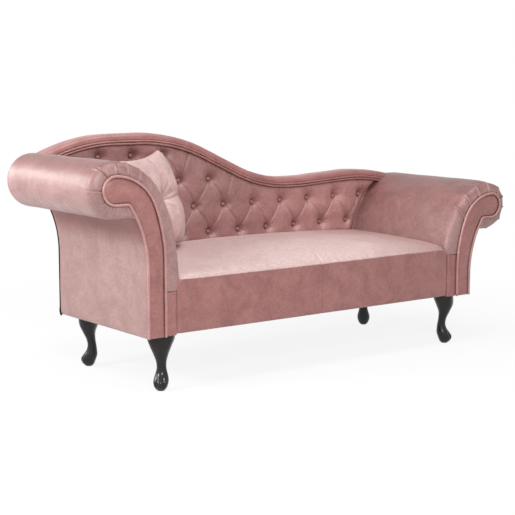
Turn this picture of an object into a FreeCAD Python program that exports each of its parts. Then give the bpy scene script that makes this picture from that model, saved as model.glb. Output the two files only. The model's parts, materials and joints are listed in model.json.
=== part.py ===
import FreeCAD, Part
import math
import os

# Chaise longue with one high and one low scroll arm, a serpentine tufted back,
# a fixed crowned seat, four cabriole legs and one loose cushion.
# Millimetres.  X runs along the length, -X at the high arm.  The front faces -Y.
# Z = 0 is the floor, and the origin is the centre of the footprint.

# Seat and base
seat_width = 1166.0          # between the padded inner faces of the arms
seat_edge_height = 360.0     # seam between seat cover and front apron
seat_crown_height = 411.0    # top of the crowned seat at its centre
seat_end_height = 391.0      # top of the seat beside an arm
seat_rear_height = 407.0     # top of the seat against the back
seat_shoulder_setback = 96.0  # from the front seam back to where the crown flattens
seat_shoulder_height = 401.0
seat_bulge_setback = 0.42    # where the front edge bulges, as shares of the way from
seat_bulge_rise = 0.6875     # the seam back and up to the shoulder
seat_crown_overlap = 1.0     # the lengthwise crown passes over the other one
seat_back_y = 221.0          # front face of the back
base_height = 190.0          # underside of the wooden base
deck_height = 335.0          # top of the seat rails, where the springs hang
apron_width = 1196.0
apron_bottom = 186.0
apron_setback = 8.0          # apron face behind the arm fronts
apron_padding = 4.0
apron_hem = 3.0
rail_thickness = 22.0
end_rail_thickness = 40.0
end_rail_top = 320.0         # the arm padding stands on the end rails
center_rail_width = 30.0
center_rail_height = 62.0
leg_board_thickness = 18.0
leg_board_width = 132.0
leg_board_inset = 6.0        # from the outer face of the arm boards
felt_thickness = 4.0
dust_cover_thickness = 1.2
dust_cover_slot_margin = 6.0

# Depth
front_y = -282.0             # plane of the arm fronts
rear_y = 284.0               # rear of the wooden frame
rear_lining_thickness = 2.5
rear_lining_inset = 4.0
rear_lining_drop = 3.0
cover_thickness = 2.0

# Arms
high_roll_height = 653.0     # centre of the scroll above the floor
low_roll_height = 510.0
roll_overhang = 235.0        # from the padded inner face to the scroll centre
roll_radius = 89.0           # padded roll
scroll_radius = 44.0         # scroll on the front facing, inside the piping
arm_side_padding = 60.0
board_crown_radius = 150.0
pad_crown_radius = 198.0
arm_lean_drop = 232.0        # below the scroll centre, where the arm starts to lean out
arm_front_width = 63.0       # facing width near the floor
outer_lean_drop = 250.0
scroll_neck_offset = 46.0
neck_fillet = 10.0
arm_bottom = 182.0
arm_board_thickness = 18.0
facing_thickness = 6.0
arm_skin_thickness = 3.0
side_panel_thickness = 3.0
arm_front_rounding = 20.0
arm_rear_rounding = 26.0
arm_piping_radius = 4.5
arm_rail_size = 34.0
arm_rail_width = 26.0
skin_setback = 1.0           # fibreboard skin inside the outline of the arm
arm_board_lift = 2.0         # scroll boards end above the lower edge of the velvet
strip_setback = 4.0          # plain strip beside the apron, behind the arm front

# Back
crest_height = 795.5
crest_start_x = -520.0
crest_length = 100.0
left_shoulder_radius = 668.0
left_shoulder_turn = 23.1
slope_angle = 25.2
slope_crest_radius = 681.0
slope_length = 154.7
slope_foot_radius = 565.0
dip_length = 49.4
rise_angle = 3.4
rise_length = 172.0
tail_radius = 876.0
tail_turn = 17.8
border_piping_radius = 4.2
border_face_width = 21.7     # smooth band above the double piping
piping_spacing = 8.8
border_rounding = 14.0
border_top_padding = 6.0
back_foam_thickness = 32.0
back_panel_thickness = 3.0
back_rail_width = 48.0
upright_width = 30.0
upright_offsets = (-7, -3, 1, 5, 9)

# Tufting
button_spacing = 131.8
button_row_spacing = 96.6
first_button_x = -112.0
first_button_z = 428.0
button_margin = 27.0         # from a button to the piping or an arm
button_floor_margin = 20.0   # from the lowest row to the seat
button_radius = 9.5
button_thickness = 5.0
button_flat_radius = 6.5      # flat top of a covered button
dimple_radius = 24.0
dimple_floor_radius = 12.5
dimple_depth = 17.0
twine_radius = 1.2
toggle_length = 18.0
toggle_thickness = 4.0

# Springs
spring_count = 8
spring_spacing = 140.0
spring_wire_radius = 1.9
spring_pitch = 32.0
spring_half_width = 22.0
clip_width = 26.0
clip_length = 16.0
clip_thickness = 1.5
clip_lip_reach = 1.0

# Legs
leg_height = 187.5
leg_x = 626.0
leg_front_y = -226.0
leg_rear_y = 218.0
glide_thickness = 3.0
glide_radius = 11.0
plate_size = 62.0
leg_bolt_radius = 4.0
leg_bolt_depth = 45.0
# Sections of a leg, from the glide up: height share, outward offset,
# half depth along the diagonal, half width across it
leg_sections = (
    (0.00, 9.0, 15.0, 14.0),
    (0.05, 10.5, 20.0, 19.0),
    (0.13, 8.5, 24.0, 22.5),
    (0.25, -1.0, 19.5, 18.5),
    (0.36, -3.0, 14.5, 15.0),
    (0.48, 0.0, 13.5, 15.5),
    (0.62, 6.0, 18.5, 22.0),
    (0.76, 7.0, 28.0, 31.0),
    (0.90, 3.0, 34.0, 40.0),
    (1.00, 0.0, 35.5, 42.0),
)

# Fasteners
bolt_radius = 4.0
bolt_head_radius = 7.5
bolt_head_height = 5.0
arm_bolt_inset = 60.0        # from the middle of a leg
back_bolt_shares = (-0.75, -0.25, 0.25, 0.75)
fit_clearance = 0.1

# Loose cushion
cushion_size = 350.0
cushion_thickness = 112.0
cushion_center = (-443.0, 87.65, 572.1)
cushion_turn = -57.0         # direction its front faces, from +X
cushion_lean = 15.5          # leaning back
cushion_roll = 1.5           # its lower edge follows the crowned seat
cushion_cover_thickness = 1.6
cushion_button_radius = 12.0
cushion_pit_margin = 1.0

piece_gap = 0.5              # between padded pieces that are built apart
wood_gap = 1.0               # between wooden parts that don't touch
cutter_margin = 1.0          # how far a cutter passes what it cuts
origin = FreeCAD.Vector(0, 0, 0)
x_axis = FreeCAD.Vector(1, 0, 0)
y_axis = FreeCAD.Vector(0, 1, 0)
z_axis = FreeCAD.Vector(0, 0, 1)

seat_half = seat_width / 2
roll_x = seat_half + roll_overhang
board_inner_x = seat_half + arm_side_padding
board_outer_x = board_inner_x + arm_front_width
facing_back_y = front_y + facing_thickness
board_back_y = facing_back_y + arm_board_thickness
rear_board_y = rear_y - arm_board_thickness
pad_front_y = front_y + arm_piping_radius + fit_clearance
apron_front_y = front_y + apron_setback
rail_front_y = apron_front_y + cover_thickness + apron_padding
rail_back_y = rail_front_y + rail_thickness
back_rail_rear_y = seat_back_y - wood_gap
back_rail_front_y = back_rail_rear_y - rail_thickness
foam_front_y = seat_back_y + cover_thickness
foam_back_y = foam_front_y + back_foam_thickness
panel_back_y = foam_back_y + back_panel_thickness
leg_board_top = base_height + leg_board_thickness
pipe_one_offset = border_face_width + border_piping_radius + fit_clearance
pipe_two_offset = pipe_one_offset + piping_spacing
tuft_top_offset = pipe_two_offset + border_piping_radius + fit_clearance
rail_top_offset = cover_thickness + border_top_padding
piping_seat_y = seat_back_y + border_piping_radius + fit_clearance

# Every finished sub-part, by node name
pieces = {}


def vec(x, y, z):
    return FreeCAD.Vector(x, y, z)


def box(x0, x1, y0, y1, z0, z1):
    return Part.makeBox(x1 - x0, y1 - y0, z1 - z0, vec(x0, y0, z0))


def rod(radius, start, end):
    axis = end - start
    return Part.makeCylinder(radius, axis.Length, start, axis)


def mirrored(shape):
    return shape.mirror(origin, x_axis)


def line_xz(start, end):
    return Part.makeLine(vec(start[0], 0, start[1]), vec(end[0], 0, end[1]))


def arc_xz(center, radius, angle_a, angle_b):
    """Arc in the XZ plane between two angles in degrees, through the middle one."""
    points = []
    for angle in (angle_a, (angle_a + angle_b) / 2, angle_b):
        turn = math.radians(angle)
        points.append(vec(center[0] + radius * math.cos(turn), 0,
                          center[1] + radius * math.sin(turn)))
    return Part.Arc(*points).toShape()


def angle_of(center, point):
    return math.degrees(math.atan2(point[1] - center[1], point[0] - center[0]))


def prism(edges, y0, y1):
    """Solid with the given closed XZ outline, between two depths."""
    wire = Part.Wire(Part.__sortEdges__(edges))
    face = Part.Face(wire)
    face.translate(vec(0, y0, 0))
    return face.extrude(vec(0, y1 - y0, 0))


def single_solid(shape):
    """The largest solid of a boolean result."""
    return max(shape.Solids, key=lambda solid: solid.Volume)


def tube(path, radius):
    """Round tube along a path of tangent lines and arcs."""
    wire = Part.Wire(path)
    first = path[0]
    start = first.valueAt(first.FirstParameter)
    heading = first.tangentAt(first.FirstParameter)
    ring = Part.Wire(Part.makeCircle(radius, start, heading))
    return wire.makePipeShell([ring], True, False)


def arm_face_edges(inner_x, crown_radius, top_radius, roll_height, bottom):
    """Inner face of an arm: upright, then two tangent arcs up to the top of the roll.

    Returns the edges and the X where the face starts at bottom, which lies on the
    first arc when bottom is above the upright part.
    """
    crown = (roll_x, roll_height + top_radius - crown_radius)
    reach = roll_x - inner_x
    rise = crown[1] - (roll_height - arm_lean_drop)
    sweep_radius = (reach ** 2 + rise ** 2 - crown_radius ** 2) / (2 * (reach - crown_radius))
    sweep = (inner_x + sweep_radius, roll_height - arm_lean_drop)
    meeting = angle_of(sweep, crown)
    climb = bottom - sweep[1]
    edges = []
    start_angle = 180.0
    start_x = inner_x
    if climb > 0:
        start_angle = 180.0 - math.degrees(math.asin(climb / sweep_radius))
        start_x = sweep[0] - math.sqrt(sweep_radius ** 2 - climb ** 2)
    else:
        edges.append(line_xz((inner_x, bottom), (inner_x, sweep[1])))
    edges.append(arc_xz(sweep, sweep_radius, start_angle, meeting))
    edges.append(arc_xz(crown, crown_radius, meeting, 90.0))
    return edges, start_x


def arm_outline(roll_height, grow, bottom):
    """Edges of the scroll outline of an arm front, grown outward, open at the bottom."""
    radius = scroll_radius + grow
    edges, inner_start_x = arm_face_edges(board_inner_x - grow, board_crown_radius + grow,
                                          radius, roll_height, bottom)
    edges.append(arc_xz((roll_x, roll_height), radius, 90.0, -90.0))
    neck_reach = roll_x - scroll_neck_offset - board_outer_x
    neck_drop = outer_lean_drop - scroll_radius
    outer_radius = (neck_reach ** 2 + neck_drop ** 2) / (2 * neck_reach)
    outer = (board_outer_x + outer_radius, roll_height - outer_lean_drop)
    fillet_z = roll_height - scroll_radius - neck_fillet
    fillet_dz = fillet_z - outer[1]
    fillet_dx = math.sqrt((outer_radius - neck_fillet) ** 2 - fillet_dz ** 2)
    fillet = (outer[0] - fillet_dx, fillet_z)
    fillet_angle = angle_of(outer, fillet)
    edges.append(line_xz((roll_x, roll_height - radius), (fillet[0], roll_height - radius)))
    edges.append(arc_xz(fillet, neck_fillet - grow, 90.0, fillet_angle))
    edges.append(arc_xz(outer, outer_radius - grow, fillet_angle, 180.0))
    edges.append(line_xz((board_outer_x + grow, outer[1]), (board_outer_x + grow, bottom)))
    return edges, inner_start_x


def arm_board(roll_height, grow, y0, y1, bottom):
    edges, inner_start_x = arm_outline(roll_height, grow, bottom)
    edges.append(line_xz((board_outer_x + grow, bottom), (inner_start_x, bottom)))
    return prism(edges, y0, y1)


def arm_under(roll_height, grow, y0, y1, bottom):
    """Everything under the padded profile of an arm, for fitting the back to it."""
    radius = roll_radius + grow
    edges, inner_start_x = arm_face_edges(seat_half - grow, pad_crown_radius + grow, radius,
                                          roll_height, bottom)
    edges.append(arc_xz((roll_x, roll_height), radius, 90.0, 0.0))
    edges.append(line_xz((roll_x + radius, roll_height), (roll_x + radius, bottom)))
    edges.append(line_xz((roll_x + radius, bottom), (inner_start_x, bottom)))
    return prism(edges, y0, y1)


def arm_pad_block(roll_height, shrink):
    """Padded roll and inner face with rounded ends, still solid across the frame."""
    radius = roll_radius - shrink
    inner_x = seat_half + shrink
    under_z = roll_height - radius
    neck_x = board_inner_x + arm_front_width
    heel_x = board_inner_x + arm_front_width / 2
    edges, inner_start_x = arm_face_edges(inner_x, pad_crown_radius - shrink, radius,
                                          roll_height, end_rail_top)
    edges.append(arc_xz((roll_x, roll_height), radius, 90.0, -90.0))
    edges.append(line_xz((roll_x, under_z), (neck_x, under_z)))
    edges.append(line_xz((neck_x, under_z), (heel_x, end_rail_top)))
    edges.append(line_xz((heel_x, end_rail_top), (inner_start_x, end_rail_top)))
    front = pad_front_y + shrink
    rear = rear_y - shrink
    block = prism(edges, front, rear)
    for depth, rounding in ((front, arm_front_rounding), (rear, arm_rear_rounding)):
        rim = []
        for edge in block.Edges:
            middle = edge.valueAt((edge.FirstParameter + edge.LastParameter) / 2)
            if abs(edge.BoundBox.YMin - depth) > 0.01 or abs(edge.BoundBox.YMax - depth) > 0.01:
                continue
            upright = abs(middle.x - inner_x) < 0.01
            underside = abs(middle.z - under_z) < 0.01 and middle.x > neck_x
            if upright or underside or isinstance(edge.Curve, Part.Circle):
                rim.append(edge)
        block = block.makeFillet(rounding - shrink, rim)
    return block


def top_path(offset):
    """Serpentine top line of the back, moved inward by offset, from left to right."""
    # Each step is a straight length, or a radius and a turn; a left turn is positive
    steps = [
        (crest_length, None),
        (-(slope_crest_radius - offset), slope_angle),
        (slope_length, None),
        (slope_foot_radius + offset, slope_angle),
        (dip_length, None),
        (slope_foot_radius + offset, rise_angle),
        (rise_length, None),
        (-(tail_radius - offset), tail_turn),
    ]
    shoulder_radius = left_shoulder_radius - offset
    shoulder_center = (crest_start_x, crest_height - left_shoulder_radius)
    edges = [arc_xz(shoulder_center, shoulder_radius, 90.0 + left_shoulder_turn, 90.0)]
    x = crest_start_x
    z = crest_height - offset
    heading = 0.0
    for size, turn in steps:
        if turn is None:
            direction = math.radians(heading)
            end = (x + size * math.cos(direction), z + size * math.sin(direction))
            edges.append(line_xz((x, z), end))
        else:
            radius = abs(size)
            side = 1.0 if size > 0 else -1.0
            to_center = math.radians(heading + 90.0 * side)
            center = (x + radius * math.cos(to_center), z + radius * math.sin(to_center))
            start_angle = heading - 90.0 * side
            end_angle = start_angle + turn * side
            edges.append(arc_xz(center, radius, start_angle, end_angle))
            heading += turn * side
            direction = math.radians(end_angle)
            end = (center[0] + radius * math.cos(direction),
                   center[1] + radius * math.sin(direction))
        x, z = end
    return edges


def path_ends(edges):
    first, last = edges[0], edges[-1]
    points = sorted((v.Point for v in (first.Vertexes + last.Vertexes)), key=lambda p: p.x)
    return points[0], points[-1]


top_left, top_right = path_ends(top_path(0.0))


def under_top(offset, y0, y1, bottom):
    """Block below the top line, closed straight down to bottom and kept above the arms."""
    edges = top_path(offset)
    left, right = path_ends(edges)
    edges.append(line_xz((right.x, right.z), (right.x, bottom)))
    edges.append(line_xz((right.x, bottom), (left.x, bottom)))
    edges.append(line_xz((left.x, bottom), (left.x, left.z)))
    block = prism(edges, y0, y1)
    span = box(top_left.x, top_right.x, y0, y1, bottom, crest_height)
    return block.common(span)


def clear_of_arms(shape, grow=piece_gap):
    """Cut a piece of the back to the padded profiles of both arms."""
    y0 = seat_back_y - 20.0
    y1 = rear_y + 20.0
    low = arm_under(low_roll_height, grow, y0, y1, 0.0)
    high = mirrored(arm_under(high_roll_height, grow, y0, y1, 0.0))
    return shape.cut(low).cut(high)


def build_arm(side, roll_height, place):
    """One scroll arm.  It is modelled at +X, and place moves it to its side."""
    board_grow = -arm_skin_thickness - skin_setback
    board_bottom = arm_bottom + arm_board_lift
    front_board = arm_board(roll_height, board_grow, facing_back_y, board_back_y, board_bottom)
    rear_board = arm_board(roll_height, board_grow, rear_board_y, rear_y, board_bottom)

    # Rails between the two scroll boards: at the floor, at the seat and in the scroll
    half = arm_rail_size / 2
    low_half = arm_rail_width / 2
    middle_x = (board_inner_x + board_outer_x) / 2
    rails = [
        box(middle_x - low_half, middle_x + low_half, board_back_y, rear_board_y,
            leg_board_top, leg_board_top + arm_rail_size),
        box(middle_x - low_half, middle_x + low_half, board_back_y, rear_board_y,
            end_rail_top - arm_rail_size, end_rail_top),
        box(roll_x - half, roll_x + half, board_back_y, rear_board_y,
            roll_height - half, roll_height + half),
    ]

    # Bent fibreboard skin that carries the padding between the scroll boards
    skin = arm_board(roll_height, -skin_setback, board_back_y, rear_board_y, leg_board_top)
    skin = skin.cut(arm_board(roll_height, board_grow, board_back_y - cutter_margin,
                              rear_board_y + cutter_margin, leg_board_top - cutter_margin))
    skin = single_solid(skin)

    # Padding and its cover, outside the scroll boards
    core = arm_board(roll_height, fit_clearance - skin_setback, front_y - cutter_margin,
                     rear_y + cutter_margin, arm_bottom)
    outer_block = arm_pad_block(roll_height, 0.0)
    inner_block = arm_pad_block(roll_height, cover_thickness)
    cover = single_solid(outer_block.cut(inner_block).cut(core))
    padding = single_solid(inner_block.cut(core))

    # Outer side panel, from the floor edge up to the underside of the roll
    panel = arm_board(roll_height, side_panel_thickness, pad_front_y, rear_y, arm_bottom)
    panel = panel.cut(arm_board(roll_height, 0.0, pad_front_y - cutter_margin,
                                rear_y + cutter_margin, arm_bottom - cutter_margin))
    panel_top = roll_height - roll_radius - piece_gap
    keep = box(middle_x, roll_x, pad_front_y, rear_y, arm_bottom, panel_top)
    panel = single_solid(panel.common(keep))

    # Front facing, piping round its edge, and the plain strip beside the apron
    facing = arm_board(roll_height, -arm_piping_radius - fit_clearance, front_y,
                       facing_back_y, arm_bottom)
    path = arm_outline(roll_height, 0.0, arm_bottom)[0]
    piping = tube(path, arm_piping_radius)
    piping.translate(vec(0, front_y, 0))
    strip = box(apron_width / 2 + piece_gap, board_inner_x - arm_piping_radius - fit_clearance,
                front_y + strip_setback, rail_front_y, arm_bottom, end_rail_top - piece_gap)

    names = {
        "arm_front_board": front_board,
        "arm_rear_board": rear_board,
        "arm_rails": Part.makeCompound(rails),
        "arm_skin": skin,
        "arm_padding": padding,
        "arm_cover": cover,
        "arm_side_panel": panel,
        "arm_front_facing": facing,
        "arm_front_piping": piping,
        "arm_front_strip": strip,
    }
    for name, shape in names.items():
        pieces[name + "_" + side] = place(shape)


def seat_block(shrink, bottom):
    """Crowned seat: the crown across its depth met by the crown along its length."""
    front = apron_front_y + shrink
    rear = seat_back_y - piece_gap - shrink
    half = seat_half - piece_gap - shrink
    shoulder_y = front + seat_shoulder_setback
    crown_y = (shoulder_y + rear) / 2
    climb = seat_shoulder_height - seat_edge_height
    bulge_z = seat_edge_height + seat_bulge_rise * climb - shrink
    yz = [
        Part.makeLine(vec(-half, front, bottom), vec(-half, front, seat_edge_height - shrink)),
        Part.Arc(vec(-half, front, seat_edge_height - shrink),
                 vec(-half, front + seat_bulge_setback * seat_shoulder_setback, bulge_z),
                 vec(-half, shoulder_y, seat_shoulder_height - shrink)).toShape(),
        Part.Arc(vec(-half, shoulder_y, seat_shoulder_height - shrink),
                 vec(-half, crown_y, seat_crown_height - shrink),
                 vec(-half, rear, seat_rear_height - shrink)).toShape(),
        Part.makeLine(vec(-half, rear, seat_rear_height - shrink), vec(-half, rear, bottom)),
        Part.makeLine(vec(-half, rear, bottom), vec(-half, front, bottom)),
    ]
    across = Part.Face(Part.Wire(Part.__sortEdges__(yz))).extrude(vec(2 * half, 0, 0))
    end_z = seat_end_height - shrink
    along = [
        line_xz((-half, bottom), (-half, end_z)),
        Part.Arc(vec(-half, 0, end_z), vec(0, 0, seat_crown_height + seat_crown_overlap - shrink),
                 vec(half, 0, end_z)).toShape(),
        line_xz((half, end_z), (half, bottom)),
        line_xz((half, bottom), (-half, bottom)),
    ]
    return across.common(prism(along, front, rear))


def below_arm_padding(shape):
    """Lower the ends of a long piece to the foot of the arm padding above them."""
    size = shape.BoundBox
    notch = box(seat_half - piece_gap, size.XMax + cutter_margin, size.YMin - cutter_margin,
                size.YMax + cutter_margin, end_rail_top - piece_gap, size.ZMax + cutter_margin)
    return shape.cut(notch).cut(mirrored(notch))


def build_base():
    """Wooden seat base, boards over the legs, and the dust cover."""
    rail_half = board_inner_x - arm_piping_radius - wood_gap
    front_rail = box(-rail_half, rail_half, rail_front_y, rail_back_y, base_height, deck_height)
    back_rail = box(-rail_half, rail_half, back_rail_front_y, back_rail_rear_y,
                    leg_board_top, deck_height)
    pieces["seat_front_rail"] = below_arm_padding(front_rail)
    pieces["seat_back_rail"] = below_arm_padding(back_rail)
    end_outer = board_inner_x - wood_gap
    end_rail = box(end_outer - end_rail_thickness, end_outer, rail_back_y, back_rail_front_y,
                   leg_board_top, end_rail_top)
    pieces["seat_end_rails"] = Part.makeCompound([end_rail, mirrored(end_rail)])
    half = center_rail_width / 2
    pieces["seat_center_rail"] = box(-half, half, rail_back_y, back_rail_front_y,
                                     leg_board_top, leg_board_top + center_rail_height)
    board_outer = board_outer_x - leg_board_inset
    leg_board = box(board_outer - leg_board_width, board_outer, rail_back_y,
                    rear_board_y, base_height, leg_board_top)
    boards = []
    for board in (leg_board, mirrored(leg_board)):
        for y in (leg_front_y, leg_rear_y):
            sign = 1 if board.BoundBox.XMin > 0 else -1
            hole = rod(leg_bolt_radius + fit_clearance,
                       vec(sign * leg_x, y, base_height - cutter_margin),
                       vec(sign * leg_x, y, leg_board_top + cutter_margin))
            board = board.cut(hole)
        boards.append(board)
    pieces["leg_boards"] = Part.makeCompound(boards)

    # Black lining under the base, cut out around the leg plates
    half_x = board_outer_x - side_panel_thickness
    lining = box(-half_x, half_x, rail_front_y, rear_y - wood_gap,
                 base_height - dust_cover_thickness, base_height)
    slot_x = board_inner_x - dust_cover_slot_margin
    end_x = half_x + cutter_margin
    low = base_height - dust_cover_thickness - cutter_margin
    high = base_height + cutter_margin
    arm_slot = box(slot_x, end_x, front_y, board_back_y + fit_clearance, low, high)
    rear_slot = box(slot_x, end_x, rear_board_y - fit_clearance, rear_y, low, high)
    reach = plate_size / 2 + wood_gap
    for cutter in (arm_slot, rear_slot):
        lining = lining.cut(cutter).cut(mirrored(cutter))
    for x in (-leg_x, leg_x):
        for y in (leg_front_y, leg_rear_y):
            lining = lining.cut(box(x - reach, x + reach, y - reach, y + reach, low, high))
    pieces["dust_cover"] = single_solid(lining)


def build_springs():
    """Zigzag springs from rail to rail, with a steel clip at each end."""
    springs = []
    clips = []
    wire_z = deck_height + clip_thickness + spring_wire_radius + fit_clearance
    front_end = rail_back_y - rail_thickness / 2
    rear_end = back_rail_front_y + rail_thickness / 2
    loops = int((rear_end - front_end) / spring_pitch)
    pitch = (rear_end - front_end) / loops
    bend = pitch / 4
    reach = spring_half_width - bend
    first_x = -spring_spacing * (spring_count - 1) / 2
    edges = []
    y = front_end
    x = 0.0
    for loop in range(2 * loops):
        side = 1 if loop % 2 == 0 else -1
        edges.append(Part.makeLine(vec(x, y, wire_z), vec(side * reach, y, wire_z)))
        edges.append(Part.Arc(vec(side * reach, y, wire_z),
                              vec(side * (reach + bend), y + bend, wire_z),
                              vec(side * reach, y + 2 * bend, wire_z)).toShape())
        x = side * reach
        y += 2 * bend
    edges.append(Part.makeLine(vec(x, y, wire_z), vec(0, y, wire_z)))
    spring = tube(edges, spring_wire_radius)
    for index in range(spring_count):
        spring_x = first_x + index * spring_spacing
        springs.append(spring.translated(vec(spring_x, 0, 0)))
        for clip_y in (front_end, rear_end):
            base_plate = box(spring_x - clip_width / 2, spring_x + clip_width / 2,
                             clip_y - clip_length / 2, clip_y + clip_length / 2,
                             deck_height, deck_height + clip_thickness)
            lip_z = wire_z + spring_wire_radius + fit_clearance
            outside = -1 if clip_y < 0 else 1
            wall_a = clip_y + outside * (spring_wire_radius + fit_clearance)
            wall_b = wall_a + outside * clip_thickness
            wall = box(spring_x - clip_width / 2, spring_x + clip_width / 2,
                       min(wall_a, wall_b), max(wall_a, wall_b),
                       deck_height, lip_z + clip_thickness)
            inner_a = clip_y - outside * (spring_wire_radius + clip_lip_reach)
            lip = box(spring_x - clip_width / 2, spring_x + clip_width / 2,
                      min(inner_a, wall_b), max(inner_a, wall_b), lip_z, lip_z + clip_thickness)
            clips.append(base_plate.fuse(wall).fuse(lip).removeSplitter())
    pieces["seat_springs"] = Part.makeCompound(springs)
    pieces["spring_clips"] = Part.makeCompound(clips)
    return wire_z + spring_wire_radius + clip_thickness + 2 * fit_clearance


def build_seat(felt_z):
    """Felt, foam and covers of the seat, and the upholstered apron below its edge."""
    half = seat_half - piece_gap
    foam_bottom = felt_z + felt_thickness
    pieces["spring_felt"] = box(-half, half, rail_front_y, back_rail_rear_y, felt_z, foam_bottom)
    outer = seat_block(0.0, foam_bottom)
    inner = seat_block(cover_thickness, foam_bottom)
    pieces["seat_foam"] = inner
    shell = outer.cut(inner)
    seam = fit_clearance / 2
    everywhere = 2 * seat_half
    left = box(-everywhere, -seam, -everywhere, everywhere, 0, everywhere)
    pieces["seat_cover_left"] = shell.common(left)
    pieces["seat_cover_right"] = shell.common(mirrored(left))

    half = apron_width / 2
    top = foam_bottom - piece_gap
    cover_back = apron_front_y + cover_thickness
    padding = box(-half, half, cover_back, rail_front_y, apron_bottom + apron_hem, top)
    pieces["apron_padding"] = below_arm_padding(padding)
    cover = below_arm_padding(box(seam, half, apron_front_y, cover_back, apron_bottom, top))
    pieces["apron_cover_right"] = cover
    pieces["apron_cover_left"] = mirrored(cover)


def button_places():
    """Centres of the tufting buttons: staggered rows that stay clear of the edges."""
    region = single_solid(clear_of_arms(under_top(tuft_top_offset, seat_back_y, foam_front_y,
                                                  seat_rear_height)))
    sheet = next(face for face in region.Faces
                 if abs(face.BoundBox.YMax - seat_back_y) < 0.01)
    rows = int((crest_height - first_button_z) / button_row_spacing) + 1
    columns = int(2 * roll_x / button_spacing)
    places = []
    for row in range(rows):
        z = first_button_z + row * button_row_spacing
        shift = -button_spacing / 2 if row % 2 else 0.0
        for column in range(-columns, columns + 1):
            x = first_button_x + shift + column * button_spacing
            vertex = Part.Vertex(x, seat_back_y, z)
            if vertex.distToShape(sheet)[0] > 0.01:
                continue
            margin = button_floor_margin if row == 0 else button_margin
            if vertex.distToShape(sheet.OuterWire)[0] >= margin:
                places.append((x, z))
    return places


def build_back():
    """Serpentine back: frame, panel, foam, tufted cover, border and double piping."""
    rail = under_top(rail_top_offset, panel_back_y, rear_y, base_height)
    rail = rail.cut(under_top(rail_top_offset + back_rail_width, panel_back_y - cutter_margin,
                              rear_y + cutter_margin, base_height - cutter_margin))
    pieces["back_top_rail"] = single_solid(clear_of_arms(rail))

    low = leg_board_top
    half = seat_half - wood_gap
    foot_top = low + 2 * back_rail_width
    pieces["back_bottom_rail"] = box(-half, half, panel_back_y, rear_y, low, foot_top)
    uprights = []
    column = button_spacing / 2
    for step in upright_offsets:
        x = first_button_x + (step + 0.5) * column
        post = box(x - upright_width / 2, x + upright_width / 2, panel_back_y, rear_y,
                   foot_top, crest_height)
        room = under_top(rail_top_offset + back_rail_width, panel_back_y, rear_y, foot_top)
        uprights.append(single_solid(clear_of_arms(post.common(room))))
    pieces["back_uprights"] = Part.makeCompound(uprights)

    panel = clear_of_arms(under_top(tuft_top_offset, foam_back_y, panel_back_y, low))
    panel = single_solid(panel)
    foam = single_solid(clear_of_arms(under_top(tuft_top_offset, foam_front_y, foam_back_y,
                                                deck_height)))
    cover = single_solid(clear_of_arms(under_top(tuft_top_offset, seat_back_y, foam_front_y,
                                                 deck_height)))
    buttons = []
    ties = []
    floor_y = seat_back_y + dimple_depth
    for x, z in button_places():
        mouth = vec(x, seat_back_y, z)
        floor = vec(x, floor_y, z)
        dimple = Part.makeCone(dimple_radius, dimple_floor_radius, dimple_depth, mouth, y_axis)
        lining = Part.makeCone(dimple_radius + cover_thickness,
                               dimple_floor_radius + cover_thickness,
                               dimple_depth + cover_thickness, mouth, y_axis)
        bore = rod(twine_radius + fit_clearance, mouth, vec(x, rear_y, z))
        cover = cover.fuse(lining).cut(dimple).cut(bore)
        foam = foam.cut(lining).cut(bore)
        panel = panel.cut(bore)
        rim = floor - vec(0, button_thickness / 2, 0)
        crown = Part.makeCone(button_radius, button_flat_radius, button_thickness / 2, rim, -y_axis)
        buttons.append(rod(button_radius, rim, floor).fuse(crown))
        twine = rod(twine_radius, floor, vec(x, panel_back_y + toggle_thickness / 2, z))
        toggle = box(x - toggle_thickness / 2, x + toggle_thickness / 2, panel_back_y,
                     panel_back_y + toggle_thickness, z - toggle_length / 2,
                     z + toggle_length / 2)
        ties.append(twine.fuse(toggle))
    pieces["back_panel"] = panel
    pieces["back_foam"] = single_solid(foam)
    pieces["back_tufted_cover"] = single_solid(cover)
    pieces["back_buttons"] = Part.makeCompound(buttons)
    pieces["tufting_ties"] = Part.makeCompound(ties)

    # Smooth border over the top, with the double piping below its face
    face = under_top(0.0, seat_back_y, rear_y, base_height)
    rim = []
    for edge in face.Edges:
        middle = edge.valueAt((edge.FirstParameter + edge.LastParameter) / 2)
        in_front = abs(edge.BoundBox.YMax - seat_back_y) < 0.01
        on_top = middle.z > seat_rear_height and abs(middle.x) < roll_x
        across = edge.BoundBox.XLength > wood_gap and edge.Length > border_rounding
        if in_front and on_top and across:
            rim.append(edge)
    face = face.makeFillet(border_rounding, rim)
    inner = under_top(cover_thickness, foam_front_y, rear_y, base_height)
    low = base_height - cutter_margin
    below_face = under_top(border_face_width, seat_back_y - cutter_margin, foam_front_y, low)
    shell = face.cut(inner).cut(below_face)
    pieces["back_border_cover"] = single_solid(clear_of_arms(shell))
    padding = under_top(cover_thickness, foam_front_y, rear_y, base_height).common(face)
    padding = padding.cut(under_top(rail_top_offset, foam_back_y, rear_y + cutter_margin, low))
    padding = padding.cut(under_top(tuft_top_offset, foam_front_y - cutter_margin,
                                    foam_back_y + cutter_margin, low))
    padding = padding.cut(under_top(border_face_width, foam_front_y - cutter_margin,
                                    piping_seat_y, low))
    pieces["back_border_padding"] = single_solid(clear_of_arms(padding))
    for name, offset in (("outer", pipe_one_offset), ("inner", pipe_two_offset)):
        piping = tube(top_path(offset), border_piping_radius)
        piping.translate(vec(0, seat_back_y, 0))
        pieces["back_piping_" + name] = single_solid(clear_of_arms(piping))


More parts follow.
